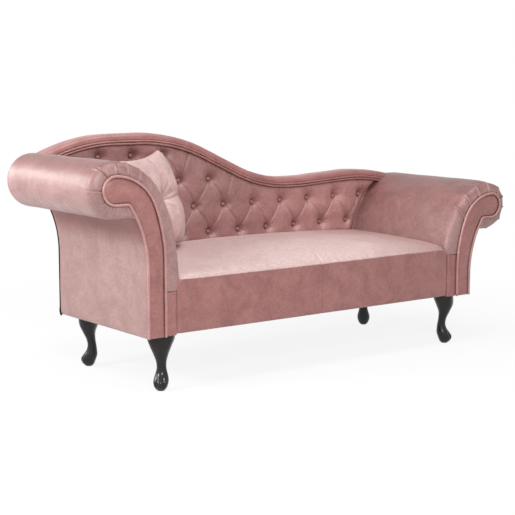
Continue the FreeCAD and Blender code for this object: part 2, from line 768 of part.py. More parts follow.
def build_rear_lining():
    """Black lining stapled over the whole rear of the frame and the arm ends."""
    y1 = rear_y + rear_lining_thickness
    inset = rear_lining_inset
    bottom = base_height - rear_lining_drop
    back = clear_of_arms(under_top(inset, rear_y, y1, bottom), piece_gap)
    low = arm_board(low_roll_height, -inset, rear_y, y1, bottom)
    high = mirrored(arm_board(high_roll_height, -inset, rear_y, y1, bottom))
    # Beside each arm the lining bridges from the back to the scroll board
    bridges = []
    for roll_height, end_x, turn in ((low_roll_height, top_right.x, False),
                                     (high_roll_height, -top_left.x, True)):
        bridge = arm_under(roll_height, 2 * piece_gap, rear_y, y1, bottom)
        bridge = bridge.common(box(seat_half - inset, end_x, rear_y, y1, bottom, crest_height))
        bridge = bridge.cut(box(board_outer_x - inset, end_x + inset, rear_y - cutter_margin,
                                y1 + cutter_margin, 0, roll_height - roll_radius))
        bridge = single_solid(bridge)
        bridges.append(mirrored(bridge) if turn else bridge)
    lining = back.fuse([low, high] + bridges).removeSplitter()
    pieces["rear_lining"] = single_solid(lining)


def build_legs():
    """Cabriole legs set on the diagonals, with glides, plates and bolts."""
    plates = []
    bolts = []
    glides = []
    rise = leg_height - glide_thickness
    for row_name, y in (("front", leg_front_y), ("rear", leg_rear_y)):
        for side_name, x in (("left", -leg_x), ("right", leg_x)):
            out = vec(math.copysign(1, x), math.copysign(1, y), 0).normalize()
            across = z_axis.cross(out)
            wires = []
            for share, offset, depth, width in leg_sections:
                center = vec(x, y, glide_thickness + share * rise) + out * offset
                major, minor = (out, across) if depth >= width else (across, out)
                ellipse = Part.Ellipse(center + major * max(depth, width),
                                       center + minor * min(depth, width), center)
                wires.append(Part.Wire(ellipse.toShape()))
            leg = Part.makeLoft(wires, True)
            hole = rod(leg_bolt_radius + fit_clearance, vec(x, y, leg_height - leg_bolt_depth),
                       vec(x, y, leg_height + cutter_margin))
            pieces["leg_" + row_name + "_" + side_name] = leg.cut(hole)
            foot = vec(x, y, 0) + out * leg_sections[0][1]
            glides.append(rod(glide_radius, foot, foot + vec(0, 0, glide_thickness)))
            half = plate_size / 2
            plate = box(x - half, x + half, y - half, y + half, leg_height, base_height)
            bolts.append(rod(leg_bolt_radius, vec(x, y, leg_height - leg_bolt_depth),
                             vec(x, y, leg_board_top - fit_clearance)))
            bore = rod(leg_bolt_radius + fit_clearance, vec(x, y, leg_height - cutter_margin),
                       vec(x, y, base_height + cutter_margin))
            plates.append(plate.cut(bore))
    pieces["leg_plates"] = Part.makeCompound(plates)
    pieces["leg_bolts"] = Part.makeCompound(bolts)
    pieces["leg_glides"] = Part.makeCompound(glides)


def build_frame_bolts():
    """Bolts that hold the arms to the seat ends and the back to the seat."""
    bolts = []
    end_inner = board_inner_x - wood_gap - end_rail_thickness
    rail_low = end_rail_top - arm_rail_size / 2
    rail_outer = (board_inner_x + board_outer_x) / 2 + arm_rail_width / 2
    for y in (leg_front_y + arm_bolt_inset, leg_rear_y - arm_bolt_inset):
        head = vec(end_inner - bolt_head_height, y, rail_low)
        seat = vec(end_inner, y, rail_low)
        tip = vec(rail_outer, y, rail_low)
        bolt = rod(bolt_head_radius, head, seat).fuse(rod(bolt_radius, seat, tip))
        bolts += [bolt, mirrored(bolt)]
    low = leg_board_top + back_rail_width
    for share in back_bolt_shares:
        x = share * seat_half
        head = vec(x, back_rail_front_y - bolt_head_height, low)
        seat = vec(x, back_rail_front_y, low)
        tip = vec(x, rear_y, low)
        bolts.append(rod(bolt_head_radius, head, seat).fuse(rod(bolt_radius, seat, tip)))
    drills = []
    for bolt in bolts:
        center = bolt.BoundBox.Center
        size = bolt.BoundBox
        radius = bolt_radius + fit_clearance
        if size.XLength > size.YLength:
            drills.append(rod(radius, vec(size.XMin - cutter_margin, center.y, center.z),
                              vec(size.XMax + cutter_margin, center.y, center.z)))
        else:
            drills.append(rod(radius, vec(center.x, size.YMin - cutter_margin, center.z),
                              vec(center.x, size.YMax + cutter_margin, center.z)))
    drilled = ("seat_end_rails", "seat_back_rail", "back_bottom_rail", "back_foam", "back_panel",
               "arm_rails_left", "arm_rails_right", "arm_skin_left", "arm_skin_right",
               "back_tufted_cover")
    for name in drilled:
        solids = []
        for solid in pieces[name].Solids:
            for drill in drills:
                if solid.BoundBox.intersect(drill.BoundBox):
                    solid = solid.cut(drill)
            solids += solid.Solids
        pieces[name] = solids[0] if len(solids) == 1 else Part.makeCompound(solids)
    pieces["frame_bolts"] = Part.makeCompound(bolts)


def cushion_lens(size, thickness):
    """Square crowned form: two lens-shaped bars met at right angles, flat in its own XY."""
    half = size / 2
    bulge = thickness / 2
    profile = [
        Part.Arc(vec(-half, -half, 0), vec(0, -half, bulge), vec(half, -half, 0)).toShape(),
        Part.Arc(vec(half, -half, 0), vec(0, -half, -bulge), vec(-half, -half, 0)).toShape(),
    ]
    bar = Part.Face(Part.Wire(profile)).extrude(vec(0, size, 0))
    other = bar.copy()
    other.rotate(origin, z_axis, 90)
    return bar.common(other)


def build_cushion():
    """Loose square cushion that leans in the corner of the high arm."""
    outer = cushion_lens(cushion_size, cushion_thickness)
    inner = cushion_lens(cushion_size - 4 * cushion_cover_thickness,
                         cushion_thickness - 2 * cushion_cover_thickness)
    bulge = cushion_thickness / 2
    pits = []
    buttons = []
    sink = 2 * button_thickness
    pit_radius = cushion_button_radius + cushion_pit_margin
    for side in (1, -1):
        start = vec(0, 0, side * (bulge - sink))
        pits.append(Part.makeCone(pit_radius, 2 * cushion_button_radius, sink + cutter_margin,
                                  start, z_axis * side))
        buttons.append(rod(cushion_button_radius, start, start + z_axis * side * button_thickness))
    deeper = []
    for side in (1, -1):
        start = vec(0, 0, side * (bulge - sink - cushion_cover_thickness))
        deeper.append(Part.makeCone(pit_radius + cushion_cover_thickness,
                                    2 * cushion_button_radius + cushion_cover_thickness,
                                    sink + cutter_margin + cushion_cover_thickness, start,
                                    z_axis * side))
    filling = inner.cut(deeper[0]).cut(deeper[1])
    cover = outer.cut(filling).cut(pits[0]).cut(pits[1])
    shapes = {
        "cushion_filling": filling,
        "cushion_cover": cover,
        "cushion_buttons": Part.makeCompound(buttons),
    }
    for name, shape in shapes.items():
        # Stand the form up, roll it, lean it back, face it outward and put it in its corner
        shape.rotate(origin, x_axis, 90)
        shape.rotate(origin, y_axis, -cushion_roll)
        shape.rotate(origin, x_axis, -cushion_lean)
        shape.rotate(origin, z_axis, cushion_turn + 90)
        shape.translate(vec(*cushion_center))
        pieces[name] = shape


build_base()
build_seat(build_springs())
build_back()
build_arm("right", low_roll_height, lambda shape: shape)
build_arm("left", high_roll_height, mirrored)
build_rear_lining()
build_legs()
build_frame_bolts()
build_cushion()

os.makedirs("parts", exist_ok=True)
for node, shape in pieces.items():
    shape.exportStep("parts/" + node + ".step")
    print(node, len(shape.Solids), round(shape.Volume / 1000.0, 1), shape.isValid())
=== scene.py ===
import json
import math

import bmesh
import bpy
import numpy as np
from mathutils import Matrix, Vector
from mathutils.geometry import delaunay_2d_cdt


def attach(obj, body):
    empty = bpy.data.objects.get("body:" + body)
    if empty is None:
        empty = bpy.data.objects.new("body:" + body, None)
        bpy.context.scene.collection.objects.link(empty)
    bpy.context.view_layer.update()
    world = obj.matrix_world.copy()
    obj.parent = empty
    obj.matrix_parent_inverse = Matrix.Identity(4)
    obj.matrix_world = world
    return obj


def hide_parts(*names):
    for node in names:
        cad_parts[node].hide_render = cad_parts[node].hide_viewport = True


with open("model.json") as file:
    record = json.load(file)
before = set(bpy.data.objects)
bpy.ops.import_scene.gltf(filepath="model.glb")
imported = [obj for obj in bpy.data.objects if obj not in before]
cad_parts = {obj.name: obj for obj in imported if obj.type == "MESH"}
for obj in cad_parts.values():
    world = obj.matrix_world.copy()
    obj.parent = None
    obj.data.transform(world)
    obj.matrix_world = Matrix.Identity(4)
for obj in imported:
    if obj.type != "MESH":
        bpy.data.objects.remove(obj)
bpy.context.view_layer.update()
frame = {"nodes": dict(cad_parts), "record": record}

# Sizes are in millimetres in the frame of the part, and meshes are made in metres.
# Where a value is set for each arm, True is the left arm and False the right one.
MM = 0.001
SIDE_NAME = {True: "left", False: "right"}

# Arms, seen from the front: the padded roll, and the board with its piping inside that
SEAT_HALF = 583.0            # padded inner face of an arm
ROLL_X = 818.0               # centre of the scrolls
ROLL_HEIGHT = {True: 653.0, False: 510.0}
ROLL_RADIUS = 89.0
PAD_CROWN = 198.0            # radius of the padded shoulder
PAD_BOTTOM = {True: 326.0, False: 339.0}    # where the plain strip starts
SCROLL_RADIUS = 44.0
BOARD_CROWN = 150.0
BOARD_INNER_X = 643.0
BOARD_OUTER_X = 706.0
LEAN_DROP = 232.0            # from the scroll centre down to the start of the inner sweep
OUTER_DROP = 250.0           # and of the outer one
NECK_OFFSET = 46.0           # neck of the scroll, inward from its centre
NECK_FILLET = 10.0
ARM_BOTTOM = 182.0
FRONT_Y = -282.0
REAR_Y = 284.0
RING_SETBACK = 3.0           # the pleated ring starts behind the front piping
RING_DEPTHS = (16.0, 35.0)   # beside the strip, and round the scroll
RING_GROWTH = (20.0, 130.0)  # heights over the strip between which it deepens
REAR_ROUNDING = 30.0
FACING_PIPE_RADIUS = 4.3
FACING_INSET = 4.4
STRIP_SIDES = (598.2, 640.5)
PANEL_OFFSET = 2.0           # outer panel, out from the outer side of the board
PANEL_CORNER = 16.0

# Back
BACK_Y = 221.0               # its front plane
SEAT_REST = 385.0            # it goes on below the seat's surface
BACK_START = -780.0          # where its piping and lining end, inside the left arm
BORDER_END = 751.0           # where its border and piping end, inside the right arm
PIPE_RADIUS = 3.9
PIPE_OFFSETS = {"outer": 26.0, "inner": 34.8}    # double piping, below the top line
TUFT_OFFSET = 38.6
TUFT_THICKNESS = 18.0
TUFT_ENDS = (-770.0, 758.0)
TUFT_STEP = 2.8              # between its mesh columns
DEEPEST_TUFT = -13.5         # in front of the board behind the foam
PIT_FLOOR, PIT_WIDTH = 6.0, 17.0     # radius of the flat drawn in by a button, and its slope
HOLE_WIDTH = 12.5
ARM_RECESS, RECESS_REACH = 32.0, 28.0    # it falls back where it meets the arms
BUTTON_PITCH = 132.0
BUTTON_RADIUS, BUTTON_RISE = 8.8, 6.0
BUTTON_DEPTH = 24.5          # how far behind the front plane the buttons sit
LINING_INSET = 4.0
LINING_BOTTOM = 187.0
LINING_Y = REAR_Y + 3.4

# The serpentine top of the back, from left to right: arcs by radius and angle, the radius
# negative where it bends down, and straight stretches by length, with no angle
CREST = (-520.0, 795.5)
SHOULDER = 668.0
TOP_STRETCHES = [(-SHOULDER, 24.7), (100.0, 0), (-681.0, 25.2), (154.7, 0), (565.0, 25.2),
                 (49.4, 0), (565.0, 3.4), (172.0, 0), (-876.0, 17.8)]

# Seat and apron, with the height of the seat at places across its depth
APRON_Y = -274.0
APRON_HALF = 597.6
APRON_BOTTOM = 186.0
APRON_TOP = 359.5
SEAT_PLACES = [-274.0, -268.0, -258.0, -240.0, -212.0, -180.0, -108.0, -10.0, 93.0, 224.0]
SEAT_MIDDLE = [361.0, 368.0, 376.0, 386.0, 395.5, 402.0, 409.0, 411.3, 409.5, 407.0]
SEAT_END = [361.0, 368.5, 373.0, 376.0, 378.5, 380.3, 382.8, 386.0, 387.5, 388.0]
SEAM_LIPS = [(-262.0, 352.0), (-271.5, 354.0), (-275.6, 356.2), (-277.4, 358.6),
             (-277.0, 361.4), (-274.6, 363.0)]    # pinched seam along the front edge
SEAT_SEAM_DEPTH, SEAT_SEAM_WIDTH = 5.5, 4.0

# Legs
LEG_HEIGHT = 187.5
LEG_START = 3.0              # above the glide
LEG_PLACES = {"front": -226.0, "rear": 218.0}
LEG_X = {True: -626.0, False: 626.0}

# Cushion, with its turns in degrees
CUSHION_CENTER = (-443.0, 87.65, 572.1)
CUSHION_TURN = -57.0
CUSHION_LEAN = 15.5
CUSHION_ROLL = 1.5
CUSHION_HALF = 172.0
CUSHION_DEPTH = 54.0
CUSHION_CROSSING = (-11.0, -3.0)     # where its seams meet, as it leans
CUSHION_DIP = 33.0                   # how far the button draws it in
CUSHION_BUTTON_RADIUS, CUSHION_BUTTON_RISE = 12.5, 5.0
SEAM_GROOVE, SEAM_VALLEY = 3.5, 8.0
FRONT_FULLNESS = 1.32

# Studio, in metres and degrees: each lamp has its place, target and size, and its watts
CAMERA_PLACE = (-2.9415, -3.8054, 1.0293)
CAMERA_TILT, CAMERA_TURN = 81.95, -37.035
CAMERA_LENS, CAMERA_SENSOR = 94.93, 36.0
AMBIENT = 0.22
LAMPS = {
    "key_left": ((-3.0, 0.4, 1.85), (-0.6, 0, 0.5), (0.9, 0.7), 68),
    "back_left": ((-2.2, 2.7, 1.5), (-0.8, 0, 0.6), (1.3, 0.7), 42),
    "top": ((0.1, -0.7, 2.9), (0, 0.1, 0.4), (2.2, 1.0), 44),
    "front": ((-1.9, -3.4, 2.5), (0, 0, 0.45), (1.3, 1.1), 100),
}


def plain_mesh(name, points, faces, material, body="chaise"):
    """Smooth mesh from points in mm, on a body of the part."""
    mesh = bpy.data.meshes.new(name)
    mesh.from_pydata((np.asarray(points) * MM).tolist(), [], faces)
    mesh.shade_smooth()
    mesh.materials.append(material)
    obj = bpy.data.objects.new(name, mesh)
    bpy.context.scene.collection.objects.link(obj)
    if body:
        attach(obj, body)
    return obj


def grid_mesh(name, grid, material, centre):
    """Smooth sheet from a grid of points in mm, with its faces turned away from centre."""
    rows, cols = grid.shape[:2]
    index = np.arange(rows * cols).reshape(rows, cols)
    quads = np.stack([index[:-1, :-1], index[:-1, 1:], index[1:, 1:], index[1:, :-1]], -1)
    quads = quads.reshape(-1, 4)
    points = grid.reshape(-1, 3)
    a, b, c = (points[quads[:, i]] for i in (0, 1, 3))
    if np.sum(np.cross(b - a, c - a) * (a - np.asarray(centre, float))) < 0:
        quads = quads[:, ::-1]
    return plain_mesh(name, points, quads.tolist(), material)


def tube_faces(rows, sides):
    """Faces of a closed tube whose points are laid out ring by ring."""
    faces = []
    for i in range(rows - 1):
        for j in range(sides):
            k = (j + 1) % sides
            faces.append((i * sides + j, i * sides + k, (i + 1) * sides + k,
                          (i + 1) * sides + j))
    faces.append(tuple(range(sides))[::-1])
    faces.append(tuple((rows - 1) * sides + j for j in range(sides)))
    return faces


def face_outward(obj, merge=None):
    """Turn the faces of a closed mesh outward, once points nearer than merge are joined."""
    shape = bmesh.new()
    shape.from_mesh(obj.data)
    if merge:
        bmesh.ops.remove_doubles(shape, verts=shape.verts, dist=merge)
    bmesh.ops.recalc_face_normals(shape, faces=shape.faces)
    shape.to_mesh(obj.data)
    shape.free()


def facing_along_y(points, faces, sign):
    """The faces, all reversed if the first of them looks the other way along Y."""
    a, b, c = (points[i] for i in faces[0][:3])
    if np.cross(b - a, c - a)[1] * sign < 0:
        return [face[::-1] for face in faces]
    return faces


def point_grid(x, y, z):
    """Points from three arrays or numbers that fill one grid."""
    return np.stack(np.broadcast_arrays(x, y, z), -1).astype(float)


def with_hem(grid, axis, end, shift):
    """The grid with its first (0) or last (-1) edge repeated, moved by shift."""
    edge = np.take(grid, [end], axis=axis) + np.array(shift, float)
    return np.concatenate([grid, edge] if end else [edge, grid], axis=axis)


def grid_normals(grid, centre):
    """Unit normals of a grid of points, turned away from centre."""
    normal = np.cross(np.gradient(grid, axis=0), np.gradient(grid, axis=1))
    normal /= np.maximum(np.linalg.norm(normal, axis=2, keepdims=True), 1e-9)
    if np.sum(normal * (grid - np.asarray(centre, float))) < 0:
        normal = -normal
    return normal


def soft_noise(shape, cells, seed):
    """Smooth noise between -1 and 1 on a grid, with about cells waves each way."""
    chance = np.random.default_rng(seed)
    knots = chance.uniform(-1, 1, (cells[0] + 3, cells[1] + 3))

    def weights(count, parts):
        place = np.linspace(0, parts, count)
        first = np.minimum(place.astype(int), parts - 1)
        t = place - first
        w = np.stack([(1 - t) ** 3, 3 * t ** 3 - 6 * t ** 2 + 4,
                      -3 * t ** 3 + 3 * t ** 2 + 3 * t + 1, t ** 3], 1) / 6
        return first, w

    first_r, w_r = weights(shape[0], cells[0])
    first_c, w_c = weights(shape[1], cells[1])
    result = np.zeros(shape)
    for i in range(4):
        for j in range(4):
            result += knots[np.ix_(first_r + i, first_c + j)] * np.outer(w_r[:, i], w_c[:, j])
    return result * 1.6


def hump(distance, width, power=2):
    """1 at no distance, and a smooth fall towards 0 beyond the width."""
    return np.exp(-(distance / width) ** power)


def fading(distance, reach):
    """1 at no distance, dying out over the reach."""
    return np.exp(-distance / reach)


def line_length(line):
    """Length along a polyline, at each of its points."""
    steps = np.linalg.norm(np.diff(line, axis=0), axis=1)
    return np.concatenate([[0], np.cumsum(steps)])


def resample(line, count):
    """The same polyline with count points at even spacing."""
    length = line_length(line)
    wanted = np.linspace(0, length[-1], count)
    return np.stack([np.interp(wanted, length, line[:, i]) for i in range(line.shape[1])], 1)


def joined(parts):
    """One polyline from parts that each start where the one before ends."""
    return np.vstack([parts[0]] + [part[1:] for part in parts[1:]])


def arc(centre, radius, start, end):
    """Points on an arc between two angles in degrees, about 2 mm apart."""
    count = max(3, int(abs(math.radians(end - start)) * radius / 2.0))
    turn = np.radians(np.linspace(start, end, count + 1))
    return np.stack([centre[0] + radius * np.cos(turn), centre[1] + radius * np.sin(turn)], 1)


def curve_values(keys, values, wanted):
    """Smooth values through keys, by cubic pieces."""
    keys = np.asarray(keys, float)
    values = np.asarray(values, float)
    slope = np.gradient(values, keys)
    place = np.clip(np.searchsorted(keys, wanted) - 1, 0, len(keys) - 2)
    width = keys[place + 1] - keys[place]
    t = (wanted - keys[place]) / width
    return ((2 * t ** 3 - 3 * t ** 2 + 1) * values[place]
            + (t ** 3 - 2 * t ** 2 + t) * width * slope[place]
            + (3 * t ** 2 - 2 * t ** 3) * values[place + 1]
            + (t ** 3 - t ** 2) * width * slope[place + 1])


def set_values(node, values):
    """Values of unlinked sockets, by name."""
    for name, value in values.items():
        node.inputs[name].default_value = value


def add_node(tree, kind, values=None, links=None, **settings):
    """Shader node with its settings, socket values and incoming links."""
    node = tree.nodes.new("ShaderNode" + kind)
    for name, value in settings.items():
        setattr(node, name, value)
    set_values(node, values or {})
    for name, source in (links or {}).items():
        tree.links.new(source, node.inputs[name])
    return node


def new_material(name):
    """Material with an empty shader, and the place on the object as texture coordinates."""
    material = bpy.data.materials.new(name)
    material.use_nodes = True
    tree = material.node_tree
    tree.nodes.clear()
    shader = add_node(tree, "BsdfPrincipled")
    add_node(tree, "OutputMaterial", links={"Surface": shader.outputs["BSDF"]})
    return material, tree, shader, add_node(tree, "TexCoord").outputs["Object"]


def noise(tree, place, scale, detail, roughness=0.5, distortion=0.0):
    """Fine or coarse noise over the texture coordinates, as one value."""
    values = {"Scale": scale, "Detail": detail, "Roughness": roughness,
              "Distortion": distortion}
    return add_node(tree, "TexNoise", values, {"Vector": place}).outputs["Fac"]


def ramp(tree, value, stops):
    """Colours over a value, from stops of a place between 0 and 1 and a colour."""
    node = add_node(tree, "ValToRGB", links={"Fac": value})
    band = node.color_ramp
    while len(band.elements) < len(stops):
        band.elements.new(0.5)
    for element, (place, colour) in zip(band.elements, stops):
        element.position = place
        element.color = (*colour, 1.0)
    return node.outputs["Color"]


def shaded(tree, colour, value, stops):
    """The colour multiplied by a ramp over a value."""
    links = {"A": colour, "B": ramp(tree, value, stops)}
    return add_node(tree, "Mix", {"Factor": 1.0}, links, data_type="RGBA",
                    blend_type="MULTIPLY").outputs["Result"]


def axis_value(tree, vector, axis):
    """One part of a vector: X, Y or Z."""
    return add_node(tree, "SeparateXYZ", links={"Vector": vector}).outputs[axis]


def bump(tree, shader, height, distance, strength=1.0, under=None):
    """Fine relief on a shader, over the relief under it where that is given."""
    node = add_node(tree, "Bump", {"Distance": distance, "Strength": strength},
                    {"Height": height})
    if under is not None:
        tree.links.new(under, node.inputs["Normal"])
    tree.links.new(node.outputs["Normal"], shader.inputs["Normal"])
    return node.outputs["Normal"]


def vary_roughness(tree, shader, value, least, most):
    """Roughness of a shader that goes from least to most with a value."""
    spread = add_node(tree, "MapRange", {"To Min": least, "To Max": most}, {"Value": value})
    tree.links.new(spread.outputs["Result"], shader.inputs["Roughness"])


WHITE = (1.0, 1.0, 1.0)


def velvet(name, light, dark, brushed=14.0, upward=None, along=None, height=None):
    """Short-pile velvet: brushed patches and a fine nap.

    Up to three ramps darken it with painted shade: upward, over how much a face looks up,
    along, over the place to the right in m, and height, in m.
    """
    material, tree, shader, place = new_material(name)
    colour = ramp(tree, noise(tree, place, brushed, 8.0, 0.7, 0.8),
                  [(0.32, dark), (0.68, light)])
    colour = shaded(tree, colour, noise(tree, place, 150.0, 4.0, 0.75),
                    [(0.3, (0.66, 0.64, 0.64)), (0.7, WHITE)])
    if upward:
        facing = add_node(tree, "TexCoord").outputs["Normal"]
        colour = shaded(tree, colour, axis_value(tree, facing, "Z"), upward)
    if along:
        colour = shaded(tree, colour, axis_value(tree, place, "X"), along)
    if height:
        colour = shaded(tree, colour, axis_value(tree, place, "Z"), height)
    tree.links.new(colour, shader.inputs["Base Color"])
    vary_roughness(tree, shader, noise(tree, place, 14.0, 4.0), 0.4, 0.56)
    set_values(shader, {"Specular IOR Level": 0.8, "Specular Tint": (1.0, 0.94, 0.93, 1.0),
                        "Sheen Weight": 0.1, "Sheen Roughness": 0.5,
                        "Sheen Tint": (1.0, 0.92, 0.9, 1.0)})
    soft = bump(tree, shader, noise(tree, place, 45.0, 4.0), 0.0012, 0.5)
    bump(tree, shader, noise(tree, place, 900.0, 2.0), 0.0003, 0.6, soft)
    return material


def grained(name, dark, light, scale, stretch, roughness, relief, coat=0.0, metallic=0.0,
            gloss=0.5):
    """Wood, metal, board, foam or cloth: noise stretched along one direction."""
    material, tree, shader, place = new_material(name)
    mapping = add_node(tree, "Mapping", {"Scale": stretch}, {"Vector": place})
    grain = noise(tree, mapping.outputs["Vector"], scale, 6.0, 0.6, 0.4)
    colour = ramp(tree, grain, [(0.2, dark), (0.8, light)])
    tree.links.new(colour, shader.inputs["Base Color"])
    vary_roughness(tree, shader, grain, *roughness)
    set_values(shader, {"Metallic": metallic, "Specular IOR Level": gloss,
                        "Coat Weight": coat, "Coat Roughness": 0.1})
    bump(tree, shader, grain, relief)
    return material


def woven(name, dark, pale, pitch, roughness):
    """Plain woven lining cloth: crossed threads with some colour variation."""
    material, tree, shader, place = new_material(name)
    values = {"Scale": 1.0 / pitch, "Distortion": 1.2, "Detail Scale": 2.0}
    threads = [add_node(tree, "TexWave", values, {"Vector": place}, bands_direction=axis)
               for axis in ("X", "Z")]
    weave = add_node(tree, "Math", operation="MAXIMUM",
                     links={i: thread.outputs["Fac"] for i, thread in enumerate(threads)})
    wear = ramp(tree, noise(tree, place, 9.0, 5.0), [(0.3, dark), (0.75, pale)])
    tree.links.new(wear, shader.inputs["Base Color"])
    set_values(shader, {"Roughness": roughness, "Specular IOR Level": 0.2})
    soft = bump(tree, shader, noise(tree, place, 7.0, 3.0), 0.006, 0.6)
    bump(tree, shader, weave.outputs["Value"], 0.0004, 0.7, soft)
    return material


SHELL = velvet("velvet_pink", (0.41, 0.172, 0.156), (0.27, 0.098, 0.088))
FLAT = velvet("velvet_pulled_flat", (0.42, 0.176, 0.159), (0.28, 0.101, 0.092))
# Tufted back: a paler copy of the same velvet, with painted light that leaves it darker left of
# 0.35 m and lightest to the right
TUFTED = velvet("velvet_tufted_painted_light", (0.58, 0.3, 0.283), (0.38, 0.172, 0.16),
                along=[(0.0, (0.67, 0.62, 0.62)), (0.35, WHITE)])
# Arms: a paler, greyer copy of the same velvet for the light the rolls catch, with painted shade
# darkening the faces that look up
ARM = velvet("velvet_arm_shaded_on_top", (0.435, 0.25, 0.237), (0.275, 0.138, 0.129), 16.0,
             upward=[(0.1, WHITE), (0.6, (0.714, 0.544, 0.534)), (1.0, (0.48, 0.32, 0.31))])
# Seat: a much paler copy of the same velvet as painted sheen, with painted shade darkening it
# towards the right arm beyond 0.2 m
PALE = velvet("velvet_seat_painted_sheen", (0.74, 0.54, 0.52), (0.6, 0.415, 0.395),
              along=[(0.2, WHITE), (0.6, (0.62, 0.48, 0.46))])
# Outer panels: a greyer copy of the same velvet for the light they catch, with a painted shadow
# darkening them above 0.46 m, just beneath the roll
SIDE = velvet("velvet_panel_shadow_under_roll", (0.39, 0.228, 0.213), (0.28, 0.15, 0.138), 11.0,
              height=[(0.46, WHITE), (0.53, (0.82, 0.4, 0.36))])
# Cushion: a much paler copy of the same velvet, painted light for the light it catches
CUSHION = velvet("velvet_cushion_painted_light", (0.72, 0.49, 0.467), (0.52, 0.325, 0.307))
# Facing piping: a paler copy of the same velvet as a painted highlight along the cords
PIPING = velvet("velvet_cord_painted_highlight", (0.55, 0.29, 0.27), (0.42, 0.2, 0.185))
LEG = grained("leg_stain", (0.005, 0.004, 0.004), (0.013, 0.009, 0.008), 30.0,
              (1.0, 1.0, 0.12), (0.3, 0.45), 0.0002, coat=0.4, gloss=0.16)
STEEL = grained("spring_steel", (0.3, 0.3, 0.31), (0.5, 0.5, 0.52), 300.0,
                (1.0, 0.05, 1.0), (0.3, 0.45), 0.0001, metallic=1.0)
LINING = woven("black_lining", (0.008, 0.008, 0.009), (0.02, 0.019, 0.019), 0.0016, 0.9)
EVEN = (1.0, 1.0, 1.0)       # grain that runs the same way in all directions
NODE_MATERIALS = {
    "velvet": SHELL,
    "facing_velvet": FLAT,
    "black_lining": LINING,
    "leg_wood": LEG,
    "spring_steel": STEEL,
    "bolt_steel": STEEL,
    "frame_wood": grained("sawn_hardwood", (0.33, 0.2, 0.1), (0.56, 0.38, 0.21), 26.0,
                          (0.08, 1.0, 1.0), (0.6, 0.75), 0.0006),
    "fibreboard": grained("fibreboard", (0.24, 0.15, 0.08), (0.33, 0.22, 0.13), 160.0, EVEN,
                          (0.7, 0.8), 0.0002),
    "seat_foam": grained("foam", (0.68, 0.6, 0.42), (0.8, 0.73, 0.55), 220.0, EVEN,
                         (0.85, 0.95), 0.0008),
    "felt": grained("felt", (0.3, 0.29, 0.27), (0.48, 0.46, 0.43), 120.0, EVEN, (0.9, 1.0),
                    0.001),
    "twine": grained("waxed_twine", (0.42, 0.34, 0.22), (0.6, 0.5, 0.35), 400.0, EVEN,
                     (0.6, 0.7), 0.0002),
    "glide_plastic": grained("glide_plastic", (0.012, 0.012, 0.012), (0.03, 0.03, 0.03), 200.0,
                             EVEN, (0.45, 0.6), 0.0001),
    "cushion_filling": grained("fibre_filling", (0.7, 0.69, 0.65), (0.86, 0.85, 0.82), 90.0,
                               EVEN, (0.9, 1.0), 0.001),
}


def arm_side_lines(inner_x, crown_radius, radius, roll_height, bottom, counts):
    """Outline stretches of an arm from its foot inside to the underside of the roll."""
    crown = (ROLL_X, roll_height + radius - crown_radius)
    reach = ROLL_X - inner_x
    foot_z = roll_height - LEAN_DROP
    rise = crown[1] - foot_z
    sweep_radius = (reach ** 2 + rise ** 2 - crown_radius ** 2) / (2 * (reach - crown_radius))
    sweep = (inner_x + sweep_radius, foot_z)
    meeting = math.degrees(math.atan2(crown[1] - sweep[1], crown[0] - sweep[0]))
    start = 180.0
    lines = []
    if bottom < foot_z:
        lines.append(np.array([[inner_x, bottom], [inner_x, foot_z]]))
    else:
        start = 180.0 - math.degrees(math.asin((bottom - foot_z) / sweep_radius))
    lines.append(arc(sweep, sweep_radius, start, meeting))
    lines.append(arc(crown, crown_radius, meeting, 90.0))
    lines.append(arc((ROLL_X, roll_height), radius, 90.0, -90.0))
    return [resample(line, count) for line, count in zip(lines, counts[-len(lines):])]


def outer_neck(roll_height, grow):
    """Lower side of the scroll, the neck and the outer side down to the floor edge."""
    low = roll_height - SCROLL_RADIUS - grow
    neck_reach = ROLL_X - NECK_OFFSET - BOARD_OUTER_X
    neck_drop = OUTER_DROP - SCROLL_RADIUS
    outer_radius = (neck_reach ** 2 + neck_drop ** 2) / (2 * neck_reach)
    outer = (BOARD_OUTER_X + outer_radius, roll_height - OUTER_DROP)
    fillet_z = roll_height - SCROLL_RADIUS - NECK_FILLET
    dz = fillet_z - outer[1]
    dx = math.sqrt((outer_radius - NECK_FILLET) ** 2 - dz ** 2)
    fillet = (outer[0] - dx, fillet_z)
    turn = math.degrees(math.atan2(fillet[1] - outer[1], fillet[0] - outer[0]))
    shelf = np.array([[ROLL_X, low], [fillet[0], low]])
    bend = arc(fillet, NECK_FILLET - grow, 90.0, turn)
    return shelf, bend, arc(outer, outer_radius - grow, turn, 180.0)


def board_outline(roll_height, grow, bottom):
    """Whole scroll outline of the arm front, open at the bottom."""
    lines = arm_side_lines(BOARD_INNER_X - grow, BOARD_CROWN + grow, SCROLL_RADIUS + grow,
                           roll_height, bottom, (60, 90, 60, 60))
    neck = outer_neck(roll_height, grow)
    end = neck[-1][-1]
    foot = np.array([[end[0], end[1]], [end[0], bottom]])
    return joined([*lines, *neck, foot])


def placed(grid, left):
    """Arms are laid out at +X; the left one is mirrored to its side."""
    return grid * np.array([-1.0, 1.0, 1.0]) if left else grid


# Pleats in the ring round each scroll, from the scroll centre to a point on the ring
RING_PLEATS = {
    True: [(30, 44), (-10, 57), (-53, 54), (-90, 30), (-125, 2), (52, 3), (48, -42), (36, -52),
           (23, -57), (10, -60), (-4, -62)],
    False: [(-66, 46), (-15, 58), (37, 50), (63, 30), (72, -5), (55, -45), (-5, -65), (-98, 2),
            (-128, -38)],
}
FACET_DEPTH = {True: 0.35, False: 1.3}


def pleat_strength(left, height, fade):
    """Strength of a pleat at a height over the scroll centre; low on the left it is weak."""
    if not left or height >= 12:
        return fade
    return (0.4 if height < -30 else 0.5) * fade ** 2


